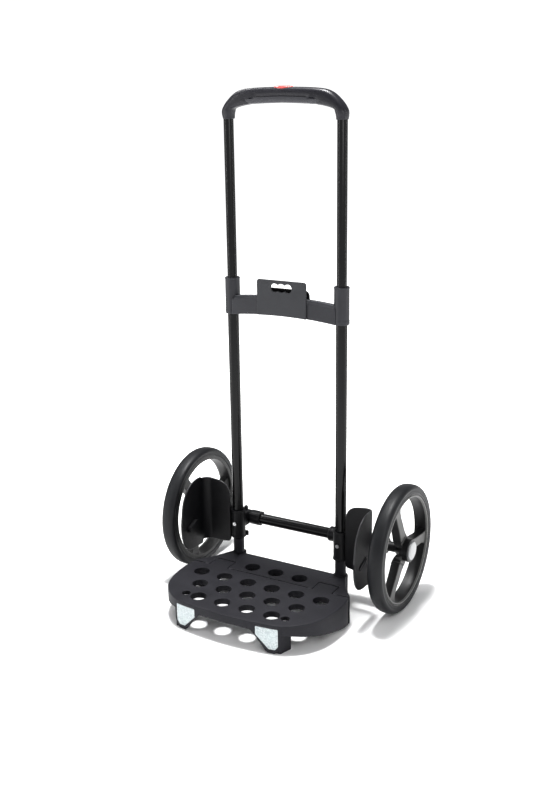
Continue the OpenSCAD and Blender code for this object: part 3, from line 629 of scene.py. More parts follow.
for s, side in ((-1, "left"), (1, "right")):
    tube("upright_lower_" + side, s * HX, 11.0, 9.8, 10, 626, M["tube"], "frame", "lower_tube_" + side,
         [(578, 3.1, 1), (288, 3.1, 1), (124.6, 2.05, -1), (30, 2.05, 1), (607.5, 1.66, 1)])
    tube("upright_upper_" + side, s * HX, 9.5, 8.3, 560, 951.5, M["tube_upper"], "handle", "upper_tube_" + side,
         [(578, 3.1, 1), (943, 1.66, 1)])

# ---------------------------------------------------------------- grip
GRIP_OUT = smooth([(129, 935), (129.5, 944), (127, 954), (117, 968), (100, 982), (80, 988.5), (42, 991), (0, 991.6)], 8)
GRIP_IN = smooth([(105.6, 935), (105.6, 947), (100, 954.5), (64, 961.2), (0, 963.6)], 12)
BASE_TOP = smooth([(100, 963.4), (94, 965.4), (80, 969.2), (64, 972.4), (32, 975.6), (0, 976.6)], 8)


def leg_shape(x, z):
    """Half width factor and front depth of a leg, thinning down to the tube at its end."""
    f = 1 - sstep(935.0, 951.0, z)
    return (lerp(1.0, 10.25 / 11.95, f), lerp(13.0, 10.3, f)) if x > 100 else (1.0, 13.0)


def thin_leg(ring):
    out = []
    for x, y, z in ring:
        w, d = leg_shape(abs(x), z)
        s = 1.0 if x > 0 else -1.0
        if abs(x) > 100:
            x = s * (HX + (abs(x) - HX) * w)
        if y < TY:
            y = TY + (y - TY) * d / 13.0
        out.append((x, y, z))
    return out


def along(p, n):
    """n points equally spaced along a line of points, with fractions."""
    d = [0.0]
    for a, b in zip(p, p[1:]):
        d.append(d[-1] + math.dist(a, b))
    out = []
    for k in range(n):
        t = d[-1] * k / (n - 1)
        i = max(j for j in range(len(d)) if d[j] <= t + 1e-9)
        i = min(i, len(p) - 2)
        u = (t - d[i]) / max(1e-9, d[i + 1] - d[i])
        out.append(tuple(lerp(a, b, u) for a, b in zip(p[i], p[i + 1])))
    return out


def super_ring(a, b, ca, cb, lo, hi, y_half, p=2.9, n=40, flat=1.0):
    """Ring of a soft rounded section between an inner point lo and an outer point hi (in X and Z), y_half deep each way."""
    pts = []
    cx, cz = (lo[0] + hi[0]) / 2, (lo[1] + hi[1]) / 2
    ux, uz = (hi[0] - lo[0]) / 2, (hi[1] - lo[1]) / 2
    for k in range(n):
        q = 2 * math.pi * (k + 0.5) / n
        c, s = math.cos(q), math.sin(q)
        nn = math.copysign(abs(c) ** (2 / p), c)
        yy = math.copysign(abs(s) ** (2 / p), s)
        pts.append((cx + ux * nn, TY + y_half * yy, cz + uz * nn))
    return pts


def section_at(t):
    """Place along the grip (0 at the legs' ends, 1 in the middle) and the side's sign, at t from 0 (right leg's end) to
    1 (left leg's end).
    """
    u = 1 - abs(2 * t - 1)          # 0 at the legs, 1 at the middle
    sgn = 1 if t < 0.5 else -1
    return u, sgn


NG = 61
out_pts = along(GRIP_OUT, NG)
in_pts = along(GRIP_IN, NG)
half = list(zip(in_pts, out_pts))
full = [((p[0], p[1]), (q[0], q[1])) for p, q in half] + [((-p[0], p[1]), (-q[0], q[1])) for p, q in reversed(half[:-1])]


def build_grip():
    sh = Shell()
    rings = []
    n = 44
    # leg ends: a small rounded lip
    first = full[0]
    for e, dz in ((1.6, 0.0), (0.5, 0.35), (0.0, 1.5)):
        lo, hi = first
        cx = (lo[0] + hi[0]) / 2
        rings.append([(x - (x - cx) * e / 11.7, TY + (y - TY) * (1 - e / 13.0), z + dz - 0.0) for x, y, z in super_ring(0, 0, 0, 0, lo, hi, 13.0, 2.6, n)])
    for i, (lo, hi) in enumerate(full[1:-1]):
        x_mid = abs((lo[0] + hi[0]) / 2)
        z_part = None
        p = lerp(3.0, 2.6, sstep(40, 112, x_mid))
        yh = 13.0
        ring = super_ring(0, 0, 0, 0, lo, hi, yh, p, n)
        # where the lower strip sits, the cover steps in
        k_in = 1 - sstep(70, 88, abs(lo[0] * 0.35 + hi[0] * 0.65))
        if k_in > 0:
            new = []
            for x, y, z in ring:
                zt = interp([(q[0], q[1]) for q in reversed(BASE_TOP)], abs(x)) + 0.35
                if z < zt:
                    f = 1.6 * k_in * min(1.0, (zt - z) / 0.3)
                    y = TY + (y - TY) * (1 - f / 13.0)
                    z = min(zt, z + f * 0.9)
                new.append((x, y, z))
            ring = new
        rings.append(ring)
    lastp = full[-1]
    for e, dz in ((0.0, 1.5), (0.5, 0.35), (1.6, 0.0)):
        lo, hi = lastp
        cx = (lo[0] + hi[0]) / 2
        rings.append([(x - (x - cx) * e / 11.7, TY + (y - TY) * (1 - e / 13.0), z + dz) for x, y, z in super_ring(0, 0, 0, 0, lo, hi, 13.0, 2.6, n)])
    sh.loft([thin_leg(r) for r in rings])
    ob = make("grip_arch", sh, M["grip"], "handle", "grip_cover", sharp=50)
    cuts = []
    c = Shell()
    el = [(20.45 * math.cos(2 * math.pi * k / 56), 10.5 * math.sin(2 * math.pi * k / 56)) for k in range(56)]
    rings = [[(x * f, TY + y * f, z) for x, y in el] for f, z in ((1.0, 974.5), (1.0, 990.2), (1.02, 990.9), (1.07, 992.2), (1.07, 1000))]
    c.loft(rings)
    cuts.append(c)
    for s in (-1, 1):
        c = Shell()
        c.rev([(0, 925), (9.62, 925), (9.62, 951.6), (0, 951.6)], "z", (s * HX, TY, 0), seg=72, wrap=False)
        cuts.append(c)
    for s in (-1, 1):
        c = Shell()
        c.rev([(0, 4), (1.66, 4), (1.66, 30), (0, 30)], "y", (s * HX, TY, 943), seg=20, wrap=False)
        cuts.append(c)
    # room inside for the release bar and its rods
    c = Shell()
    low = [(121, 951.2), (110, 951.4), (101, 956.6), (94, 958.4), (45, 966.8), (0, 967.4)]
    high = [(121, 961.5), (112.3, 962), (100, 968.4), (95.2, 970.2), (45.3, 981.5), (0, 982)]
    loop = low + [(-x, z) for x, z in reversed(low[:-1])] + [(-x, z) for x, z in high] + [(x, z) for x, z in reversed(high[:-1])]
    c.prism(loop, "y", TY - 5.5, TY + 5.5, 0, 1, e1=0)
    cuts.append(c)
    cut(ob, cuts, sharp=40)
    # lower strip under the hand
    sh = Shell()
    rings = []
    xs = [i for i, (lo, hi) in enumerate(full) if abs(lo[0] * 0.35 + hi[0] * 0.65) < 96.0]
    for i in range(xs[0], xs[-1] + 1):
        lo, hi = full[i]
        p = lerp(3.0, 2.6, sstep(40, 112, abs((lo[0] + hi[0]) / 2)))
        sink = sstep(70, 90, abs(lo[0] * 0.35 + hi[0] * 0.65))
        lo = (lerp(lo[0], hi[0], 0.035 * sink), lerp(lo[1], hi[1], 0.035 * sink))
        ring = super_ring(0, 0, 0, 0, lo, hi, 12.95 - 0.9 * sink, p, 44)
        new = []
        k = 1.0
        if i in (xs[0], xs[-1]):
            k = 0.9
        for x, y, z in ring:
            zt = interp([(q[0], q[1]) for q in reversed(BASE_TOP)], abs(x)) - 0.1
            if z > zt:
                over = z - zt
                y = TY + (y - TY) * (0.86 if over > 0.5 else 0.97)
                z = zt + min(over, 0.02)
                zt = z
            new.append((x, TY + (y - TY) * k, z))
        rings.append(new)
    sh.loft(rings)
    strip = make("grip_strip", sh, M["base"], "handle", "grip_base", sharp=50)
    c2 = Shell()
    c2.prism(loop, "y", TY - 5.5, TY + 5.5, 0, 1, e1=0)
    cut(strip, [c2], sharp=40)
    return ob


build_grip()


def build_button():
    sh = Shell()
    n = 56

    def el(a, b, z, tilt=0.0):
        return [(a * math.cos(2 * math.pi * k / n), TY + b * math.sin(2 * math.pi * k / n), z) for k in range(n)]
    rings = [el(19.2, 9.2, 981.3), el(19.8, 9.8, 981.6), el(20, 10, 982.3), el(20, 10, 989.8), el(19.85, 9.85, 990.6), el(19.3, 9.3, 991.4)]
    for k in range(1, 10):
        t = k / 10
        rings.append(el(19.3 * math.cos(t * math.pi / 2) ** 0.62, 9.3 * math.cos(t * math.pi / 2) ** 0.62, 991.4 + 2.15 * math.sin(t * math.pi / 2) ** 1.1))
    sh.loft(rings)
    # thumb ridges across the dome
    for i in range(-2, 3):
        w = 5.0 - abs(i) * 0.8
        x = i * 4.6
        zc = 991.4 + 2.15 * math.sqrt(max(0.0, 1 - (x / 20.2) ** 2)) - 0.25
        p = rounded([(x - 0.5, -w), (x + 0.5, -w), (x + 0.5, w), (x - 0.5, w)], 0.45, 3)
        sh.prism([(a, TY + b) for a, b in p], "z", zc - 0.9, min(993.55, zc + 0.3), 0.2, 2)
    return make("button_red_dome", sh, M["red"], "release", "release_button", sharp=45)


build_button()


# ---------------------------------------------------------------- crossbar
def beam_z(x, e, d):
    return e - d * (x / 112.0) ** 2


def build_crossbar():
    sh = Shell()
    rings = []
    N = 60
    W = 113.6
    xs = [-W + 0.01, -W + 0.5, -W + 1.1, -W + 1.8, -W + 2.6, -W + 3.4, -W + 4.2]
    xs += [-W + 5.2 + 2 * (W - 5.2) * i / N for i in range(N + 1)] + [-x for x in reversed(xs)]
    for x in xs:
        # the face draws in at its ends, round the sleeves
        f = sstep(W - 4.0, W, abs(x))
        zt, zb, z0 = beam_z(x, 610, 6.5), beam_z(x, 603.6, 6), beam_z(x, 574.5, 7)
        yf = -15.0 + 4.0 * f * f
        prof = rounded([(0.0, z0 + 0.5 * f), (yf, z0 + 1.2 * f), (yf, zb - 3.0 * f), (-9.4, zt - 3.4 * f), (0.0, zt - 3.2 * f)], [0.4, 1.3, 0.7, 0.8, 0.4], 4)
        rings.append([(x, TY + y, z) for y, z in prof])
    sh.loft(rings)
    # bead along the ridge in a lighter material: a painted highlight line
    bead = []
    for k in range(61):
        x = lerp(-109.0, 109.0, k / 60)
        z = beam_z(x, 610, 6.5)
        q = 0.25 if k in (0, 60) else 1.0
        bead.append([(x, TY - 9.0 + 0.85 * q * math.cos(2 * math.pi * m / 10), z - 0.45 + 0.85 * q * math.sin(2 * math.pi * m / 10)) for m in range(10)])
    sh.loft(bead, mi=1)
    for s in (-1, 1):
        sub = Shell()
        z0, z1 = 567.5, 638.5
        prof = rounded([(11.02, z0), (14.9, z0), (14.95, z0 + 7.5), (14.62, z0 + 8.2), (14.2, z1), (9.95, z1), (9.95, z1 - 3), (11.02, z1 - 3)],
                       [0.4, 1.2, 0.3, 0.3, 1.4, 0.4, 0, 0], 4)
        sub.rev(prof, "z", (s * HX, TY, 0), seg=72)
        # thin bead at the top of the sleeve
        sub.rev(rounded([(13.6, z1 - 3.6), (14.75, z1 - 3.4), (14.75, z1 - 1.4), (13.6, z1 - 1.0)], 0.4, 3), "z", (s * HX, TY, 0), seg=72)
        sh.add(sub.v, sub.f)
    # ribs behind the face
    for x in (-75, -50, -25, 0, 25, 50, 75):
        sh.box((x - 1.2, TY - 9, beam_z(x, 578, 7)), (x + 1.2, TY - 0.3, beam_z(x, 600, 6)), 0.2)
    ob = make("crossbar_beam", sh, [M["bar"], M["bar_ridge_highlight"]], "frame", "crossbar")
    return ob


build_crossbar()


def build_hook_plate():
    # finger slot: three soft lobes along the top and the bottom, round ends
    top, bot, ends = 636.5, 620.1, 22.7
    loop = []
    half_h = (top - bot) / 2
    for k in range(73):
        x = ends - 8.0 - 2 * (ends - 8.0) * k / 72
        dip = 2.5 * ((((x / 14.6) + 0.5) % 1.0 - 0.5) * 2) ** 2
        loop.append((x, top - dip))
    for k in range(1, 20):
        a = math.pi / 2 + math.pi * k / 20
        loop.append((-(ends - 8.0) + 8.0 * math.cos(a), (top + bot) / 2 + half_h * math.sin(a)))
    for k in range(73):
        x = -(ends - 8.0) + 2 * (ends - 8.0) * k / 72
        dip = 2.5 * ((((x / 14.6) + 0.5) % 1.0 - 0.5) * 2) ** 2
        loop.append((x, bot + dip))
    for k in range(1, 20):
        a = -math.pi / 2 + math.pi * k / 20
        loop.append(((ends - 8.0) + 8.0 * math.cos(a), (top + bot) / 2 + half_h * math.sin(a)))
    clean = [loop[0]]
    for p in loop[1:]:
        if math.dist(p, clean[-1]) > 0.05:
            clean.append(p)
    bottom = [(x, beam_z(x, 574.6, 7)) for x in [lerp(-52.75, 52.75, k / 16) for k in range(17)]]
    outer = [(52.75, 642.5), (-52.75, 642.5)] + bottom
    outer = rounded(ccw(outer), [5.2 if abs(abs(p[0]) - 52.75) < 0.1 and p[1] > 640 else (1.6 if abs(abs(p[0]) - 52.75) < 0.1 else 0) for p in ccw(outer)], 7)
    sh = Shell()
    sh.plate(outer, [clean], "y", TY - 18.4, TY - 15.02, 0.9, 0.7, 3)
    ob = make("hook_plate_front", sh, M["plate"], "frame", "hook_plate", sharp=42)
    return ob


build_hook_plate()


def build_cover():
    sh = Shell()
    top = [(x, beam_z(x, 609, 6.5)) for x in [lerp(-99, -50.5, k / 8) for k in range(9)]]
    up = [(-50, 613)] + [(-40 + 10 * math.cos(a), 614 + 10 * math.sin(a)) for a in [math.radians(180 - 11.25 * k) for k in range(9)]]
    left = top + up
    bottom = [(x, beam_z(x, 575.5, 7)) for x in [lerp(99, -99, k / 24) for k in range(25)]]
    loop = left + [(-x, z) for x, z in reversed(left)] + bottom
    clean = [loop[0]]
    for p in loop[1:]:
        if math.dist(p, clean[-1]) > 0.3:
            clean.append(p)
    sh.prism(clean, "y", TY + 0.02, TY + 3.0, 0.5, 3)
    # stiffening bead on the back
    bead = rounded([(-86, 583), (86, 583), (86, 600), (-86, 600)], 6, 6)
    loopn = ccw(bead)
    rings = []
    for d, y in ((0, 2.7), (-0.3, 3.25), (-1.2, 3.45), (-2.1, 3.25), (-2.4, 2.7)):
        rings.append([(x, TY + y, z - 7 * (x / 112.0) ** 2) for x, z in moved(loopn, d)])
    sh.loft(rings, caps=(False, False))
    return make("crossbar_back", sh, M["black"], "frame", "crossbar_cover")


build_cover()


# ---------------------------------------------------------------- brackets, axle
def build_bracket(s, side):
    sh = Shell()
    prof = rounded([(11.02, 92.7), (14.0, 92.7), (15.4, 92.7), (15.4, 95.7), (14.5, 96.2), (14.5, 149.5), (15.4, 150), (15.4, 153), (11.02, 153)],
                   [0.3, 0, 0.9, 0.5, 0.5, 0.5, 0.5, 0.9, 0.3], 4)
    sh.rev(prof, "z", (HX, TY, 0), seg=72)
    # screw boss in front
    sh.rev(rounded([(2.1, -14.25), (5.4, -14.25), (6.4, -11), (6.4, -6), (2.1, -6)], [0.2, 0.8, 0.8, 0, 0], 4), "y", (HX, TY, 124.6), seg=40)
    # socket for the cross tube
    sh.rev(rounded([(11.02, 80), (15, 80), (15, 84), (14, 84.6), (14, 106), (11.02, 106)], [0.3, 1.0, 0.6, 0.5, 0, 0], 4), "x", (0, AY, AZ), seg=64)
    for k in range(6):
        a = math.pi * k / 3 + 0.3
        y, z = AY + 14.0 * math.cos(a), AZ + 14.0 * math.sin(a)
        sh.box((85, y - 1.1, z - 1.1), (104, y + 1.1, z + 1.1), 0.5)
    sh.rev(rounded([(0.5, 100), (14, 100), (14, 129), (0.5, 129)], [0, 0.4, 0.4, 0], 3), "x", (0, AY, AZ), seg=64)
    # boss that carries the axle pin
    sh.rev(rounded([(6.01, 127), (16.5, 127), (16.5, 178), (15.6, 206), (6.01, 206)], [0, 1.2, 3, 1.2, 0.4], 4), "x", (0, AY, AZ), seg=64)
    for k in range(8):
        a = math.pi * k / 4 + math.pi / 8
        y, z = AY + 16.0 * math.cos(a), AZ + 16.0 * math.sin(a)
        sh.box((131, y - 1.2, z - 1.2), (176, y + 1.2, z + 1.2), 0.5)
    # web between sleeve and socket, pad for the guard
    sh.prism(rounded([(106, TY + 2), (131, TY + 2), (131, AY), (106, AY)], 2.5, 4), "z", 113, 141, 1.6, 3)
    sh.prism(rounded([(120, TY - 5.6), (134, TY - 5.6), (134, TY + 16), (120, TY + 16)], [2, 1.0, 1.2, 4], 4), "z", 96, 148, 1.2, 3)
    for z in (100, 144):
        sh.box((128, TY + 14, z - 1.3), (133.6, AY + 6, z + 1.3), 0.6)
    # lugs
    for z in (92.7, 149):
        sh.rev(rounded([(0.01, 0), (4.2, 0), (4.2, 9), (0.01, 9)], [0, 0.9, 1.6, 0], 4), "z", (105.5, TY + 11.5, z), seg=28)
        sh.rev(rounded([(0.01, 9), (2.1, 9), (2.1, 10.2), (0.01, 10.2)], [0, 0, 0.6, 0], 3), "z", (105.5, TY + 11.5, z), seg=24)
    return make("bracket_body_" + side, sh, M["black"], "frame", "bracket_" + side, mirror=s < 0)


sh = Shell()
sh.rev(rounded([(9.6, -97.8), (11, -97.8), (11, 97.8), (9.6, 97.8)], 0.3, 2), "x", (0, AY, AZ), seg=72)
make("axle_cross_tube", sh, M["tube"], "frame", "axle_tube")


# ---------------------------------------------------------------- guards
G_PANEL = smooth([(-9, 216), (-30, 219), (-52, 217), (-72, 206.5), (-87.5, 187), (-95, 160), (-98.5, 131), (-96, 104), (-88, 85), (-73, 74), (-48, 70.5), (-9, 70)], 8)
G_CROSS = smooth([(132.6, 178), (134.4, 194), (141, 205), (154, 211.5), (176, 214.5), (199, 216)], 6)


def build_guard(s, side):
    T = 3.0
    # plan line of the inner (front) face: across behind the wheel, round the bend, to the free edge
    plan = [(x, TY - 9.0) for x in (132.6, 133.0, 133.6, 134.4, 135.6, 137, 139, 142, 146, 150, 154, 162, 170, 176)]
    plan += [(176 + 16 * math.sin(math.radians(a)), TY - 25 + 16 * math.cos(math.radians(a))) for a in (11.25, 22.5, 33.75, 45, 56.25, 67.5, 78.75, 90)]
    y0 = TY - 25
    plan += [(192.0, y0 - d) for d in range(4, 62, 3)]
    plan += [(192.0, TY - q) for q in (87.5, 89.5, 91.2, 92.8, 94.2, 95.4, 96.4, 97.2, 97.8, 98.2)]
    # height limits along the line
    kmin = min(range(len(G_PANEL)), key=lambda k: G_PANEL[k][0])
    top_y = sorted((q[0], q[1]) for q in G_PANEL[:kmin + 1])
    bot_y = sorted((q[0], q[1]) for q in G_PANEL[kmin:])
    low_x = [(132.6, 86), (134.4, 82.6), (137, 80), (150, 78), (199, 78)]
    rows = 18
    n = len(plan)
    inner, outer, lim = [], [], []
    for i, (x, y) in enumerate(plan):
        a, b = plan[max(0, i - 1)], plan[min(n - 1, i + 1)]
        d = Vector((b[0] - a[0], b[1] - a[1])).normalized()
        nrm = Vector((-d.y, d.x))             # to the outside of the bend
        yy = y - TY
        zt, zb = 400.0, 0.0
        if x < 191.9:
            zt, zb = interp(G_CROSS, x), interp(low_x, x)
        if yy < -9.01:
            zt, zb = min(zt, interp(top_y, yy)), max(zb, interp(bot_y, yy))
        lim.append((zb, zt))
        inner.append((x, y))
        outer.append((x + nrm.x * T, y + nrm.y * T))
    # the bend's outside lies away from the platform: towards +x on the panel, +y on the wall
    sh = Shell()
    rings = []
    seg = 5
    cols = []
    for i in range(n):
        zb, zt = lim[i]
        (xi, yi), (xo, yo) = inner[i], outer[i]
        ring = []
        r = T / 2
        if zt - zb < 4:
            mid = (zt + zb) / 2
            zb, zt = mid - 2, mid + 2
        for k in range(rows + 1):
            z = lerp(zb + r, zt - r, k / rows)
            ring.append((xi, yi, z))
        for k in range(1, seg):
            a = math.pi * k / seg
            f = (1 - math.cos(a)) / 2
            ring.append((lerp(xi, xo, f), lerp(yi, yo, f), zt - r + r * math.sin(a)))
        for k in range(rows + 1):
            z = lerp(zt - r, zb + r, k / rows)
            ring.append((xo, yo, z))
        for k in range(1, seg):
            a = math.pi * k / seg
            f = (1 - math.cos(a)) / 2
            ring.append((lerp(xo, xi, f), lerp(yo, yi, f), zb + r - r * math.sin(a)))
        cols.append(ring)
    # the rounded edges along the guard's upper and lower borders take a lighter material: partly rubbed wear, partly a
    # painted edge highlight
    arc = list(range(rows, rows + seg)) + list(range(2 * rows + seg, 2 * rows + 2 * seg))
    sh.loft(cols, cols=arc, mc=1)
    # flange that is screwed to the bracket
    sh.prism(rounded([(134.2, TY - 8.0), (137.2, TY - 8.0), (137.2, TY + 9.0), (134.2, TY + 9.0)], [0, 0, 1.2, 1.2], 4), "z", 87.0, 177.0, 1.0, 3)
    ob = make("guard_shell_" + side, sh, [M["black"], M["black_edge_wear_and_highlight"]], "frame", "guard_" + side, mirror=s < 0, sharp=50)
    c = Shell()
    st = []
    for k in range(17):
        a = math.pi / 2 + math.pi * k / 16
        st.append((-11.5 + 6.5 * math.cos(a), 6.5 * math.sin(a)))
    for k in range(17):
        a = -math.pi / 2 + math.pi * k / 16
        st.append((11.5 + 6.5 * math.cos(a), 6.5 * math.sin(a)))
    ca, sa = math.cos(math.radians(21)), math.sin(math.radians(21))
    st = [(TY - 62 + u * ca - v * sa, 124 + u * sa + v * ca) for u, v in st]
    c.prism(st, "x", s * 185 if s > 0 else -205, s * 205 if s > 0 else -185, 0, 1, e1=0)
    holes = [c]
    for z in (104, 136):
        q = Shell()
        q.rev([(0, 0), (1.8, 0), (1.8, 12), (0, 12)], "x", (s * 130 if s > 0 else -142, TY - 1, z), seg=24, wrap=False)
        holes.append(q)
    cut(ob, holes, sharp=45)
    return ob


for s, side in ((-1, "left"), (1, "right")):
    build_bracket(s, side)
    build_guard(s, side)


# ---------------------------------------------------------------- platform
FLAP_HALF = smooth([(175.8, -83), (178.6, -100), (179.3, -118), (178, -140), (174.5, -164), (167, -187), (154, -208.5), (134, -228.5), (110, -242.2), (88, -246.3), (66, -248.6), (33, -251.4), (0, -252.5)], 6)
FOOT = [(50, 43), (57, 39.5), (62, 35), (88, 2.5), (91, 0.3), (104, 0.3), (109, 3), (114.5, 12), (115.6, 17)]
PITCH, HR = 53.9, 15.6


def deck_shell(sh, outer, holes, collar=12.0):
    """Deck with skirt. outer: (x, y, lower edge z, wall, top radius) all round, holes: (x, y, r, lip)."""
    if area([(p[0], p[1]) for p in outer]) < 0:
        outer = list(reversed(outer))
    P = [(p[0], p[1]) for p in outer]
    nrm = poly_normals(P)

    def ring(fn):
        out = []
        for p, m in zip(outer, nrm):
            d, z = fn(p)
            out.append((p[0] + m.x * d, p[1] + m.y * d, z))
        return out
    T = DECK_Z
    rings = []
    for k in range(0, 5):
        a = math.pi / 2 * k / 4
        rings.append(ring(lambda p: (-p[4] * (1 - math.sin(a)), T - p[4] * (1 - math.cos(a)))))
    q = 0.7
    rings.append(ring(lambda p: (0.0, p[2] + min(q, 0.3 * p[3]))))
    rings.append(ring(lambda p: (-0.3 * min(q, 0.3 * p[3]), p[2] + 0.3 * min(q, 0.3 * p[3]))))
    rings.append(ring(lambda p: (-min(q, 0.3 * p[3]), p[2])))
    rings.append(ring(lambda p: (-p[3] + min(q, 0.3 * p[3]), p[2])))
    rings.append(ring(lambda p: (-p[3] + 0.3 * min(q, 0.3 * p[3]), p[2] + 0.3 * min(q, 0.3 * p[3]))))
    rings.append(ring(lambda p: (-p[3], p[2] + min(q, 0.3 * p[3]))))
    rings.append(ring(lambda p: (-p[3], max(T - DECK_T, p[2] + min(q, 0.3 * p[3])) if p[5] else T - DECK_T)))
    sh.loft(rings, caps=(False, False))
    top_outer = [(p[0], p[1]) for p in rings[0]]
    low_outer = [(p[0], p[1]) for p in rings[-1]]
    tops, lows = [], []
    for x, y, r, lip in holes:
        n = 48 if r > 10 else 32
        hr = []
        for k in range(0, 4):
            a = math.pi / 2 * k / 3
            hr.append((r + lip * (1 - math.sin(a)), T - lip * (1 - math.cos(a))))
        w = 1.7
        collar_z = collar if r > 10 else 8.0
        hr += [(r, T - collar_z + 0.4), (r + 0.12, T - collar_z + 0.12), (r + 0.4, T - collar_z), (r + w - 0.4, T - collar_z), (r + w, T - collar_z + 0.4), (r + w, T - DECK_T)]
        rr = [[(cx, cy, z) for cx, cy in circle(x, y, rad, n)] for rad, z in hr]
        sh.loft(rr, caps=(False, False))
        tops.append(circle(x, y, hr[0][0], n))
        lows.append(circle(x, y, r + w, n))
    sh.fill(top_outer, tops, "z", T)
    sh.fill(low_outer, lows, "z", T - DECK_T)


def foot_low(x):
    return interp(FOOT, x)


def build_flap():
    # right half of the outer edge, hinge line first, resampled with the foot's own corners
    edge = []
    for x, y in FLAP_HALF[1:]:
        edge.append((x, y))
    front = sorted([(x, y) for x, y in FLAP_HALF if y < -225])
    ys = lambda x: interp(front, x)
    side = [(x, y) for x, y in edge if y > -240.5 and x > 113]
    stops = [115.65, 115.5, 114.5, 112, 109, 106, 104, 100, 96, 91, 89.5, 88, 84, 80, 75, 70, 66, 62, 59.5, 57, 53.5, 50.2, 50, 46, 40, 33, 26, 20, 13, 6, 0]
    right = []
    for x, y in side:
        if x > 116:
            right.append((x, y + TY, 1.5 + 0.238 * (-84 - y), 3.0, 2.3, False))
    for x in stops:
        y = ys(x)
        slant = 1.5 + 0.238 * (-84 - y)
        z = slant
        if 50 <= x <= 115.5:
            z = min(slant, foot_low(x))
        w = 3.0 + 2.6 * (sstep(48, 60, x) - sstep(113, 116, x))
        right.append((x, y + TY, z, w, 2.3, False))
    first = right[0]
    # hinge edge from the right corner to the middle
    T = DECK_Z
    hinge = []
    h0 = (T - DECK_T, 1.6, 1.3)
    tb = (T - 5.5, 1.6, 0.9)

    def hp(x, y, k):
        return (x, y + TY, k[0], k[1], k[2], True)
    ht = HINGE_Y
    corner = [(175.75, ht - 0.25 + TY, 1.5, 3.0, 0.9, False)]
    line = [hp(0, ht, h0), hp(50, ht, h0), hp(96.2, ht, h0)]
    arc1 = [(97, ht + 0.8)]
    tab = rounded([(97, ht + 2), (97, -50.5), (139, -50.5), (139, ht + 2)], [0, 2.0, 2.0, 0], 5, closed=False)
    line += [hp(97, ht + 1.0, tb)] + [hp(x, y, tb) for x, y in tab] + [hp(139, ht + 1.0, tb), hp(139.8, ht, h0), hp(160, ht, h0), hp(175.2, ht, h0), hp(175.75, ht, h0)]
    half_r = line + corner + right          # from the middle of the hinge line round to the front middle
    mir = [(-p[0],) + tuple(p[1:]) for p in reversed(half_r[1:-1])]
    outer = half_r + mir
    holes = [((i - 2.5) * PITCH, TY - 116.7, HR, 0.8) for i in range(6)] + [((i - 2) * PITCH, TY - 163.9, HR, 0.8) for i in range(5)]
    holes += [((i - 1.5) * PITCH, TY - 211.0, HR, 0.8) for i in range(4)] + [(s * 109, TY - 210.6, 8.5, 0.7) for s in (-1, 1)]
    sh = Shell()
    deck_shell(sh, outer, holes)
    yh = TY + HINGE_Y
    # hinge barrel in five lengths, with gaps for the knuckles
    for a, b in ((-175.6, -151.2), (-140.4, -95.6), (-85.8, 85.8), (95.6, 140.4), (151.2, 175.6)):
        sh.rev(rounded([(2.06, a), (3.9, a), (3.9, b), (2.06, b)], [0.2, 0.5, 0.5, 0.2], 3), "x", (0, yh, HINGE_Z), seg=36)
    for s in (-1, 1):
        # stop lip that reaches under the fixed section, in near-black painted shade
        sh.box((s * 101, TY - 62, DECK_Z - 8.4), (s * 135, TY - 44.6, DECK_Z - 5.0), 0.7, mi=1)
        for x in (107, 118, 129):
            sh.box((s * x - 1.2, TY - 80, DECK_Z - 8.4), (s * x + 1.2, TY - 55, DECK_Z - 5.0), 0.4)
        # foot: return wall and sole
        pts = [(106.5, -240.0), (114.6, -240.6), (123.0, -213.5), (118.8, -211.2)]
        p = rounded([(s * x, y + TY) for x, y in pts], [1.2, 2.2, 1.6, 1.2], 4)
        sh.prism(p, "z", 0.3, 55.2, 1.0, 3, e1=0.2)
        pts = [(90, -242.3), (112, -239.0), (121, -213), (116, -212)]
        p = rounded([(s * x, y + TY) for x, y in pts], [1.0, 1.5, 1.5, 1.5], 4)
        sh.prism(p, "z", 0.25, 3.0, 0.6, 2)
        # gussets behind the foot
        for x in (70, 92):
            sh.prism([(TY - 244.0, 50), (TY - 244.0, 26 if x < 80 else 6), (TY - 222, 54.8), (TY - 222, 55.2), (TY - 243, 55.2)], "x", s * x - 1.1, s * x + 1.1, 0.3, 2)
    for y in (-140.2, -187.4):
        w = 168 if y > -150 else 146
        sh.box((-w, TY + y - 1.2, DECK_Z - 14), (w, TY + y + 1.2, DECK_Z - 3), 0.5)
    for x in (-81, -27, 27, 81):
        sh.box((x - 1.1, TY - 97.5, DECK_Z - 12), (x + 1.1, TY - 86, DECK_Z - 3), 0.4)
    ob = make("platform_front_deck", sh, [M["deck"], M["shade_black"]], "platform", "platform_flap", sharp=40)
    # recesses for the two reflectors
    cuts = []
    for s in (-1, 1):
        c = Shell()
        lens(c, s, 0.25, 2.3, -8.0, plain=True)
        cuts.append(c)
    cut(ob, cuts, sharp=40)
    return ob


LENS = [(66, 50), (111, 50), (111, 15), (105, 7), (92, 7), (66, 33)]


def lens_map(s):
    c8, s8 = math.cos(math.radians(8)), math.sin(math.radians(8))

    def f(x, d, z):
        u, v = x - 88.5, d
        return (s * (88.5 + u * c8 - v * s8), TY - 245.1 + u * s8 + v * c8, z)
    return f


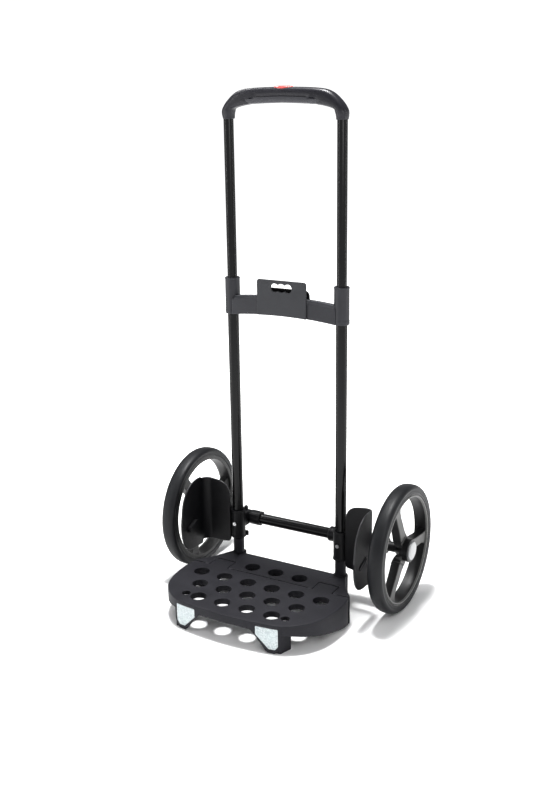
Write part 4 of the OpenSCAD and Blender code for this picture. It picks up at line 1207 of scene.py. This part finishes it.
def lens(sh, s, g, t, front, plain=False):
    f = lens_map(s)
    p = ccw([(x + (g if x > 100 else -g if x < 80 else 0), z + (g if z > 40 else -g)) for x, z in LENS])
    p = rounded(p, 2.2, 4)
    if plain:
        rings = [[f(x, d, z) for x, z in p] for d in (front, t)]
        sh.loft(rings)
        return
    nrm = poly_normals(p)
    rings = []
    e = 0.7
    for k in range(4):
        a = math.pi / 2 * k / 3
        rings.append([f(x, front + e * (1 - math.cos(a)), z) for x, z in moved(p, -e * (1 - math.sin(a)), nrm)])
    rings.append([f(x, t, z) for x, z in p])
    sh.loft(rings)
    # prism cells: small pyramids on a hexagonal pitch, over the face inside its border
    inner = moved(p, -1.9, nrm)
    pitch = 2.55
    j = 0
    z = 8.0
    while z < 50:
        x = 64 + (pitch / 2 if j % 2 else 0)
        while x < 113:
            if inside((x, z), inner):
                r = pitch * 0.56
                hexa = [(x + r * math.cos(math.pi / 6 + math.pi * k / 3), z + r * math.sin(math.pi / 6 + math.pi * k / 3)) for k in range(6)]
                top = [(x + 0.42 * r * math.cos(math.pi / 6 + math.pi * k / 3), z + 0.42 * r * math.sin(math.pi / 6 + math.pi * k / 3)) for k in range(6)]
                sh.loft([[f(a, front + 0.05, b) for a, b in hexa], [f(a, front - 0.42, b) for a, b in top]])
            x += pitch
        z += pitch * 0.866
        j += 1


build_flap()
for s, side in ((-1, "left"), (1, "right")):
    sh = Shell()
    lens(sh, s, 0.0, 2.2, 0.1)
    make("reflector_lens_" + side, sh, M["reflector"], "platform", "reflector_" + side, sharp=30)

REAR_HALF = [(176, -78.6), (173.6, -73), (162, -58), (151, -42), (141, -23), (132, -4), (129.5, 8), (124.5, 14), (111.5, 14), (106, 8), (104.5, -1.2)]


def build_rear():
    T = DECK_Z
    body_line = smooth([(176, -78.3), (173.6, -73), (162, -58), (151, -42), (141, -23), (132, -4), (130.2, 6)], 5)
    tail = rounded([(130.2, 6), (127.5, 14.4), (108.6, 14.4), (104.5, 6), (104.5, -1.2), (60, -1.2)], [0, 6, 6, 3, 2.5, 0], 6, closed=False)
    low = [(-78.6, 1.0), (-66, 6.0), (-50, 12.0), (-40, 22), (-30, 25), (-4, 12), (2, 6.5), (15, 6.0)]
    right = []
    for x, y in body_line + tail[1:-1]:
        z = interp(low, y)
        if x <= 106 and y < 3:
            z = lerp(4, 6.5, sstep(-1.2, 6, y))
        right.append((x, y + TY, z, 2.6, 1.8, False))
    right += [(x, TY - 1.2, 4.0, 2.4, 1.8, False) for x in (100, 80, 60, 40, 20, 0)]
    # seam edge with the slots for the hinge tabs
    e = (T - DECK_T, 1.6, 1.3)
    ys = -78.6
    seam = [(0, ys), (50, ys), (94.6, ys)]
    slot = rounded([(96.1, ys), (96.1, -47.2), (139.9, -47.2), (139.9, ys)], [0, 2.5, 2.5, 0], 5, closed=False)
    seam += [(96.1, ys + 1.4)] + [(x, y) for x, y in slot[1:-1]] + [(139.9, ys + 1.4), (141.4, ys), (160, ys), (175.4, ys), (175.9, ys)]
    line = [(x, y + TY, e[0], e[1], e[2], True) for x, y in seam]
    half_r = line + [(176.0, TY - 78.35, 1.0, 2.6, 1.0, False)] + right[1:]
    mir = [(-p[0],) + tuple(p[1:]) for p in reversed(half_r[1:-1])]
    outer = half_r + mir
    holes = [((i - 1) * PITCH, TY - 53.3, HR, 0.8) for i in range(3)]
    sh = Shell()
    deck_shell(sh, outer, holes)
    for s in (-1, 1):
        # sleeve round the upright, with a collar on the deck
        sh.rev(rounded([(11.02, 6), (14.9, 6), (14.9, T - 2), (11.02, T - 2)], [0.3, 1.0, 0, 0], 4), "z", (s * HX, TY, 0), seg=64)
        sh.rev(rounded([(11.02, T - 3), (14.2, T - 3), (13.4, T + 1.6), (11.02, T + 1.6)], [0, 0, 1.0, 0.3], 4), "z", (s * HX, TY, 0), seg=64)
        # lug beside the upright
        sh.rev(rounded([(0.01, T - 6), (3.6, T - 6), (3.6, T + 5.2), (0.01, T + 5.2)], [0, 0, 1.5, 0], 4), "z", (s * 104.6, TY + 1.6, 0), seg=28)
        # feet at the outer corners
        sh.box((s * 153, TY - 78.6, 0.2), (s * 173.2, TY - 75.4, T - 1), 0.6)
        sh.box((s * 153, TY - 77, 0.2), (s * 156.2, TY - 62, T - 1), 0.6)
        # stiffening walls beside the tab slot
        sh.box((s * 142, TY - 66, 22), (s * 144.6, TY - 30, T - 1), 0.5)
        sh.box((s * 91, TY - 70, 22), (s * 93.6, TY - 4, T - 1), 0.5)
        # knuckles
        for a, b in ((86.3, 95.2), (140.8, 150.7)):
            sh.rev(rounded([(2.01, a), (3.9, a), (3.9, b), (2.01, b)], [0.2, 0.5, 0.5, 0.2], 3), "x", (0, TY + HINGE_Y, HINGE_Z), seg=36) if s > 0 else \
                sh.rev(rounded([(2.01, -b), (3.9, -b), (3.9, -a), (2.01, -a)], [0.2, 0.5, 0.5, 0.2], 3), "x", (0, TY + HINGE_Y, HINGE_Z), seg=36)
            sh.box((s * a, TY + HINGE_Y + 2.2, HINGE_Z - 3.6), (s * b, TY - 76, HINGE_Z + 3.6), 0.4)
    for x in (-80, -48, -16, 16, 48, 80):
        sh.box((x - 1.2, TY - 76, 36), (x + 1.2, TY - 70.5, T - 2), 0.3)
        sh.box((x - 1.2, TY - 35.5, 30), (x + 1.2, TY - 2, T - 2), 0.3)
    sh.box((-84, TY - 78.6, 28), (84, TY - 76, T - 1), 0.5)
    ob = make("platform_fixed_deck", sh, M["deck"], "frame", "platform_rear", sharp=40)
    cuts = []
    for s in (-1, 1):
        c = Shell()
        c.rev([(0, 10.05), (11.02, 10.05), (11.02, 90), (0, 90)], "z", (s * HX, TY, 0), seg=72, wrap=False)
        cuts.append(c)
        c = Shell()
        c.rev([(0, 0.5), (10.95, 0.5), (10.95, 10.06), (0, 10.06)], "z", (s * HX, TY, 0), seg=72, wrap=False)
        cuts.append(c)
        c = Shell()
        c.rev([(0, 8), (2.1, 8), (2.1, 20), (0, 20)], "y", (s * HX, TY, 30), seg=24, wrap=False)
        cuts.append(c)
    cut(ob, cuts, sharp=40)
    return ob


build_rear()

# ---------------------------------------------------------------- wheels
WI, WO = 232.2 - 15.2, 232.2 + 15.2
SPOKES = 3
PHASE = {1: 113.0, -1: 129.0}


def build_rim(s, side):
    sh = Shell()
    prof = [(103.6, WI + 1.4), (104.6, WI + 0.8), (111.2, WI + 0.8), (112, WI + 1.4), (112, WI + 3.6), (109, WI + 4.6), (109, WO - 4.6), (112, WO - 3.6), (112, WO - 0.9), (111.4, WO - 0.4), (109.8, WO - 0.3),
            (108.9, WO - 1.2), (107.4, WO - 1.7), (106.2, WO - 2.6), (104.6, WO - 3.4), (103.9, WO - 6), (103.4, WO - 14), (103.4, WI + 10)]
    sh.rev(prof, "x", (0, AY, AZ), seg=160)
    # raised lip on the outer side, in a lighter grey that paints the highlight line along the rim's edge
    lip = Shell()
    lip.rev(rounded([(104.0, WO - 5.0), (107.0, WO - 5.0), (107.0, WO - 0.8), (104.0, WO - 0.6)], [0, 0, 1.0, 1.3], 4), "x", (0, AY, AZ), seg=160)
    sh.add(lip.v, lip.f, 2)
    # hub: slim sleeve, cone and rim of the cap's pocket
    hub = rounded([(8.06, 208.2), (10, 208.2), (10, 224), (13, 227), (22.5, 240), (22.5, 254.8), (18.62, 254.8), (18.62, 240.5), (8.06, 240.5), (8.06, 228), (7, 228), (7, 220.2), (8.06, 220.2)],
                  [0.3, 0.6, 2, 3, 4, 1.3, 0.5, 0, 0.2, 0, 0, 0, 0], 4)
    ring = Shell()
    ring.rev(hub, "x", (0, AY, AZ), seg=96)
    sh.add(ring.v, ring.f, 0)
    band = Shell()
    band.rev(rounded([(18.7, 250.5), (22.9, 250.5), (22.9, 255.6), (18.7, 255.6)], [0, 0.6, 1.1, 0.5], 4), "x", (0, AY, AZ), seg=96)
    sh.add(band.v, band.f, 1)
    # spokes: channel section open to the inner side, flared into hub and rim
    for i in range(SPOKES):
        a = math.radians(PHASE[s] + i * 360 / SPOKES)
        cu, su = math.cos(a), math.sin(a)
        rings = []
        for r in (9.0, 14, 18, 22.5, 26, 28.5, 30, 31.5, 36, 42, 50, 60, 70, 78, 85, 90, 94, 97.5, 99, 100.5, 102.5, 104.3):
            w = interp([(9, 8.0), (14, 12.5), (18, 15.0), (24, 15.0), (30, 13.6), (38, 12.1), (46, 11.5), (66, 11.1), (85, 11.0), (92, 11.7), (98, 13.4), (104.3, 16.8)], r)
            fr = 243.4 + 1.6 * (1 - sstep(18, 44, r)) - 0.9 * sstep(50, 84, r) * (1 - sstep(88, 100, r)) - 0.5 * sstep(96, 104, r)
            bk = interp([(9, 236.0), (22, 229.0), (32, 226.0), (96, 226.0), (104.3, 223.4)], r)
            q = w - 2.6
            dep = 0.02 + (fr - 3.0 - bk) * sstep(28.2, 31.5, r) * (1 - sstep(97.3, 100.6, r))
            outer = rounded([(-w, bk), (w, bk), (w - 0.7, fr), (-(w - 0.7), fr)], [0.9, 0.9, 2.2, 2.2], 5)
            # the inner side's edge is split so that the channel can sink into it
            k0 = max(range(len(outer)), key=lambda k: (abs(outer[k][1] - bk) < 1e-6, -outer[k][0]))
            out_ring = outer[k0 + 1:] + outer[:k0 + 1]
            face = [k for k in range(len(out_ring) - 1) if out_ring[k][1] > fr - 1.2 and out_ring[k + 1][1] > fr - 1.2]
            chan = [(-q, bk), (-q + 0.5, bk + dep), (q - 0.5, bk + dep), (q, bk)]
            sec = out_ring + chan
            rings.append([(d, AY + r * cu - t * su, AZ + r * su + t * cu) for t, d in sec])
        # the spokes' front faces take a lighter copy of the rim material: painted light on the faces turned to the
        # light
        sh.loft(rings, cols=face, mc=3)
    return make("wheel_rim_" + side, sh, [M["rim"], M["ring"], M["lip"], M["rim_face"]], "wheel_" + side, "rim_" + side, mirror=s < 0, sharp=42)


def build_tyre(s, side):
    sh = Shell()
    R = 127.1
    prof = [(109.02, WI + 4.7), (112.1, WI + 3.7), (112.1, WI + 0.7), (113.0, WI + 0.1), (114.4, WI + 0.2)]
    # inner side wall, slightly hollow, then a rounded tread, then the outer wall
    prof += [(116.2, WI + 0.5), (118.2, WI + 0.35)]
    for k in range(1, 40):
        q = math.pi * k / 40
        c, v = math.cos(q), math.sin(q)
        prof.append((118.9 + (R - 118.9) * v, 232.2 - math.copysign(abs(c) ** (2 / 2.7), c) * 15.18))
    prof += [(118.2, WO - 0.35), (116.2, WO - 0.5), (114.4, WO - 0.2), (113.0, WO - 0.1), (112.1, WO - 0.7), (112.1, WO - 3.7), (109.02, WO - 4.7)]
    sh.rev(prof, "x", (0, AY, AZ), seg=192)
    return make("wheel_tyre_" + side, sh, M["tyre"], "wheel_" + side, "tyre_" + side, mirror=s < 0, sharp=50)


def build_cap(s, side):
    sh = Shell()
    prof = [(0.0, 256.2), (13, 256.2), (16.4, 255.4), (16.4, 248.4), (18.0, 248.4), (18.2, 248.7), (18.2, 257.1), (18.05, 257.7), (17.5, 258.3), (16.6, 258.7), (16.0, 258.75), (15.6, 258.55),
            (15.2, 258.6), (14.6, 258.95), (12, 259.3), (8, 259.55), (4, 259.67), (0.0, 259.7)]
    sh.rev(prof, "x", (0, AY, AZ), seg=96, wrap=False)
    return make("hub_cap_disc_" + side, sh, M["cap"], "cap_" + side, "hub_cap_" + side, mirror=s < 0, sharp=35)


for s, side in ((-1, "left"), (1, "right")):
    build_rim(s, side)
    build_tyre(s, side)
    build_cap(s, side)


# ---------------------------------------------------------------- camera, floor, light
def camera():
    cd = bpy.data.cameras.new("camera")
    cam = bpy.data.objects.new("camera", cd)
    bpy.context.scene.collection.objects.link(cam)
    R = Vector((0.8657, 0.5003, -0.0157)).normalized()
    F = Vector((-0.4828, 0.8263, -0.2900)).normalized()
    U = R.cross(F).normalized()
    R = F.cross(U).normalized()
    m = Matrix(((R.x, U.x, -F.x, 0.9815), (R.y, U.y, -F.y, -1.7109), (R.z, U.z, -F.z, 1.0164), (0, 0, 0, 1)))
    cam.matrix_world = m
    cd.lens = 48.62
    cd.sensor_width = 36.0
    cd.sensor_fit = "AUTO"
    cd.clip_end = 200
    bpy.context.scene.camera = cam
    return cam


camera()


def floor():
    me = bpy.data.meshes.new("studio_floor")
    bm = bmesh.new()
    n, R = 96, [0.0, 1.0, 2.5, 5.0, 10.0, 20.0, 45.0]
    rows = []
    for r in R:
        rows.append([bm.verts.new((r * math.cos(2 * math.pi * k / n), r * math.sin(2 * math.pi * k / n), 0.0)) for k in range(n)] if r else [bm.verts.new((0, 0, 0))])
    for k in range(n):
        bm.faces.new((rows[0][0], rows[1][k], rows[1][(k + 1) % n]))
    for a, b in zip(rows[1:], rows[2:]):
        for k in range(n):
            bm.faces.new((a[k], b[k], b[(k + 1) % n], a[(k + 1) % n]))
    bm.to_mesh(me)
    bm.free()
    m, nt, b = nodes_of("studio_paper")
    N, L = nt.nodes.new, nt.links.new
    tc = N("ShaderNodeTexCoord")
    no = N("ShaderNodeTexNoise")
    no.inputs["Scale"].default_value = 3.0
    L(tc.outputs["Object"], no.inputs["Vector"])
    ra = N("ShaderNodeValToRGB")
    ra.color_ramp.elements[0].color = (0.885, 0.885, 0.885, 1)
    ra.color_ramp.elements[1].color = (0.9, 0.9, 0.9, 1)
    L(no.outputs["Fac"], ra.inputs[0])
    L(ra.outputs[0], b.inputs["Base Color"])
    # the paper glows, from nothing near the object to strong far out: a white backdrop far away, and painted light that
    # lifts the floor shadows round the wheels
    ln = N("ShaderNodeVectorMath")
    ln.operation = "LENGTH"
    L(tc.outputs["Object"], ln.inputs[0])
    far = N("ShaderNodeMapRange")
    far.interpolation_type = "SMOOTHSTEP"
    far.inputs["From Min"].default_value, far.inputs["From Max"].default_value = 0.26, 0.92
    far.inputs["To Min"].default_value, far.inputs["To Max"].default_value = 0.0, 0.75
    L(ln.outputs["Value"], far.inputs["Value"])
    em = N("ShaderNodeCombineColor")
    for k in range(3):
        L(far.outputs[0], em.inputs[k])
    L(em.outputs[0], b.inputs["Emission Color"])
    b.inputs["Emission Strength"].default_value = 1.0
    b.inputs["Roughness"].default_value = 0.85
    b.inputs["Specular IOR Level"].default_value = 0.1
    me.materials.append(m)
    ob = bpy.data.objects.new("studio_floor", me)
    bpy.context.scene.collection.objects.link(ob)


floor()


def area_light(name, loc, target, size, size_y, power, col=(1, 1, 1)):
    ld = bpy.data.lights.new(name, "AREA")
    ld.shape = "RECTANGLE"
    ld.size, ld.size_y = size, size_y
    ld.energy = power
    ld.color = col
    ob = bpy.data.objects.new(name, ld)
    bpy.context.scene.collection.objects.link(ob)
    ob.location = loc
    d = Vector(target) - Vector(loc)
    ob.rotation_euler = d.to_track_quat("-Z", "Y").to_euler()
    return ob


area_light("key_top", (-0.20, 0.22, 3.6), (0, 0.0, 0), 0.5, 0.5, 188)
area_light("soft_right", (0.78, -0.72, 0.95), (0.15, -0.05, 0.06), 0.5, 0.5, 4.0)
area_light("edge_left", (-1.30, -1.05, 0.85), (0, 0, 0.55), 0.07, 1.9, 11)
area_light("edge_right", (1.75, 0.62, 0.85), (0, 0, 0.55), 0.07, 1.9, 8)
area_light("top_left", (-1.05, 0.25, 1.9), (0, 0, 0.15), 1.3, 0.13, 9)

w = bpy.data.worlds.new("studio")
bpy.context.scene.world = w
w.use_nodes = True
nt = w.node_tree
N, L = nt.nodes.new, nt.links.new
bg = nt.nodes["Background"]
tc = N("ShaderNodeTexCoord")
sx = N("ShaderNodeSeparateXYZ")
L(tc.outputs["Generated"], sx.inputs[0])
ra = N("ShaderNodeValToRGB")
e = ra.color_ramp.elements
e[0].position, e[0].color = 0.0, (0.25, 0.25, 0.25, 1)
e[1].position, e[1].color = 1.0, (0.5, 0.51, 0.52, 1)
for p, c in ((0.48, 0.26), (0.62, 0.26), (0.78, 0.34)):
    q = e.new(p)
    q.color = (c, c, c * 1.01, 1)
mp = N("ShaderNodeMapRange")
mp.inputs["From Min"].default_value, mp.inputs["From Max"].default_value = -1.0, 1.0
L(sx.outputs["Z"], mp.inputs["Value"])
L(mp.outputs[0], ra.inputs[0])
# white backdrop low down, fading softly upwards
el = N("ShaderNodeMapRange")
el.interpolation_type = "SMOOTHSTEP"
el.inputs["From Min"].default_value, el.inputs["From Max"].default_value = 0.27, 0.04
L(sx.outputs["Z"], el.inputs["Value"])
mx = N("ShaderNodeMix")
mx.data_type = "RGBA"
mx.inputs[7].default_value = (1.1, 1.1, 1.1, 1)
L(el.outputs[0], mx.inputs[0])
L(ra.outputs[0], mx.inputs[6])
L(mx.outputs[2], bg.inputs[0])
bg.inputs[1].default_value = 1.0

vs = bpy.context.scene.view_settings
vs.view_transform = "Standard"
vs.look = "None"
vs.exposure = 0.0
vs.gamma = 0.87
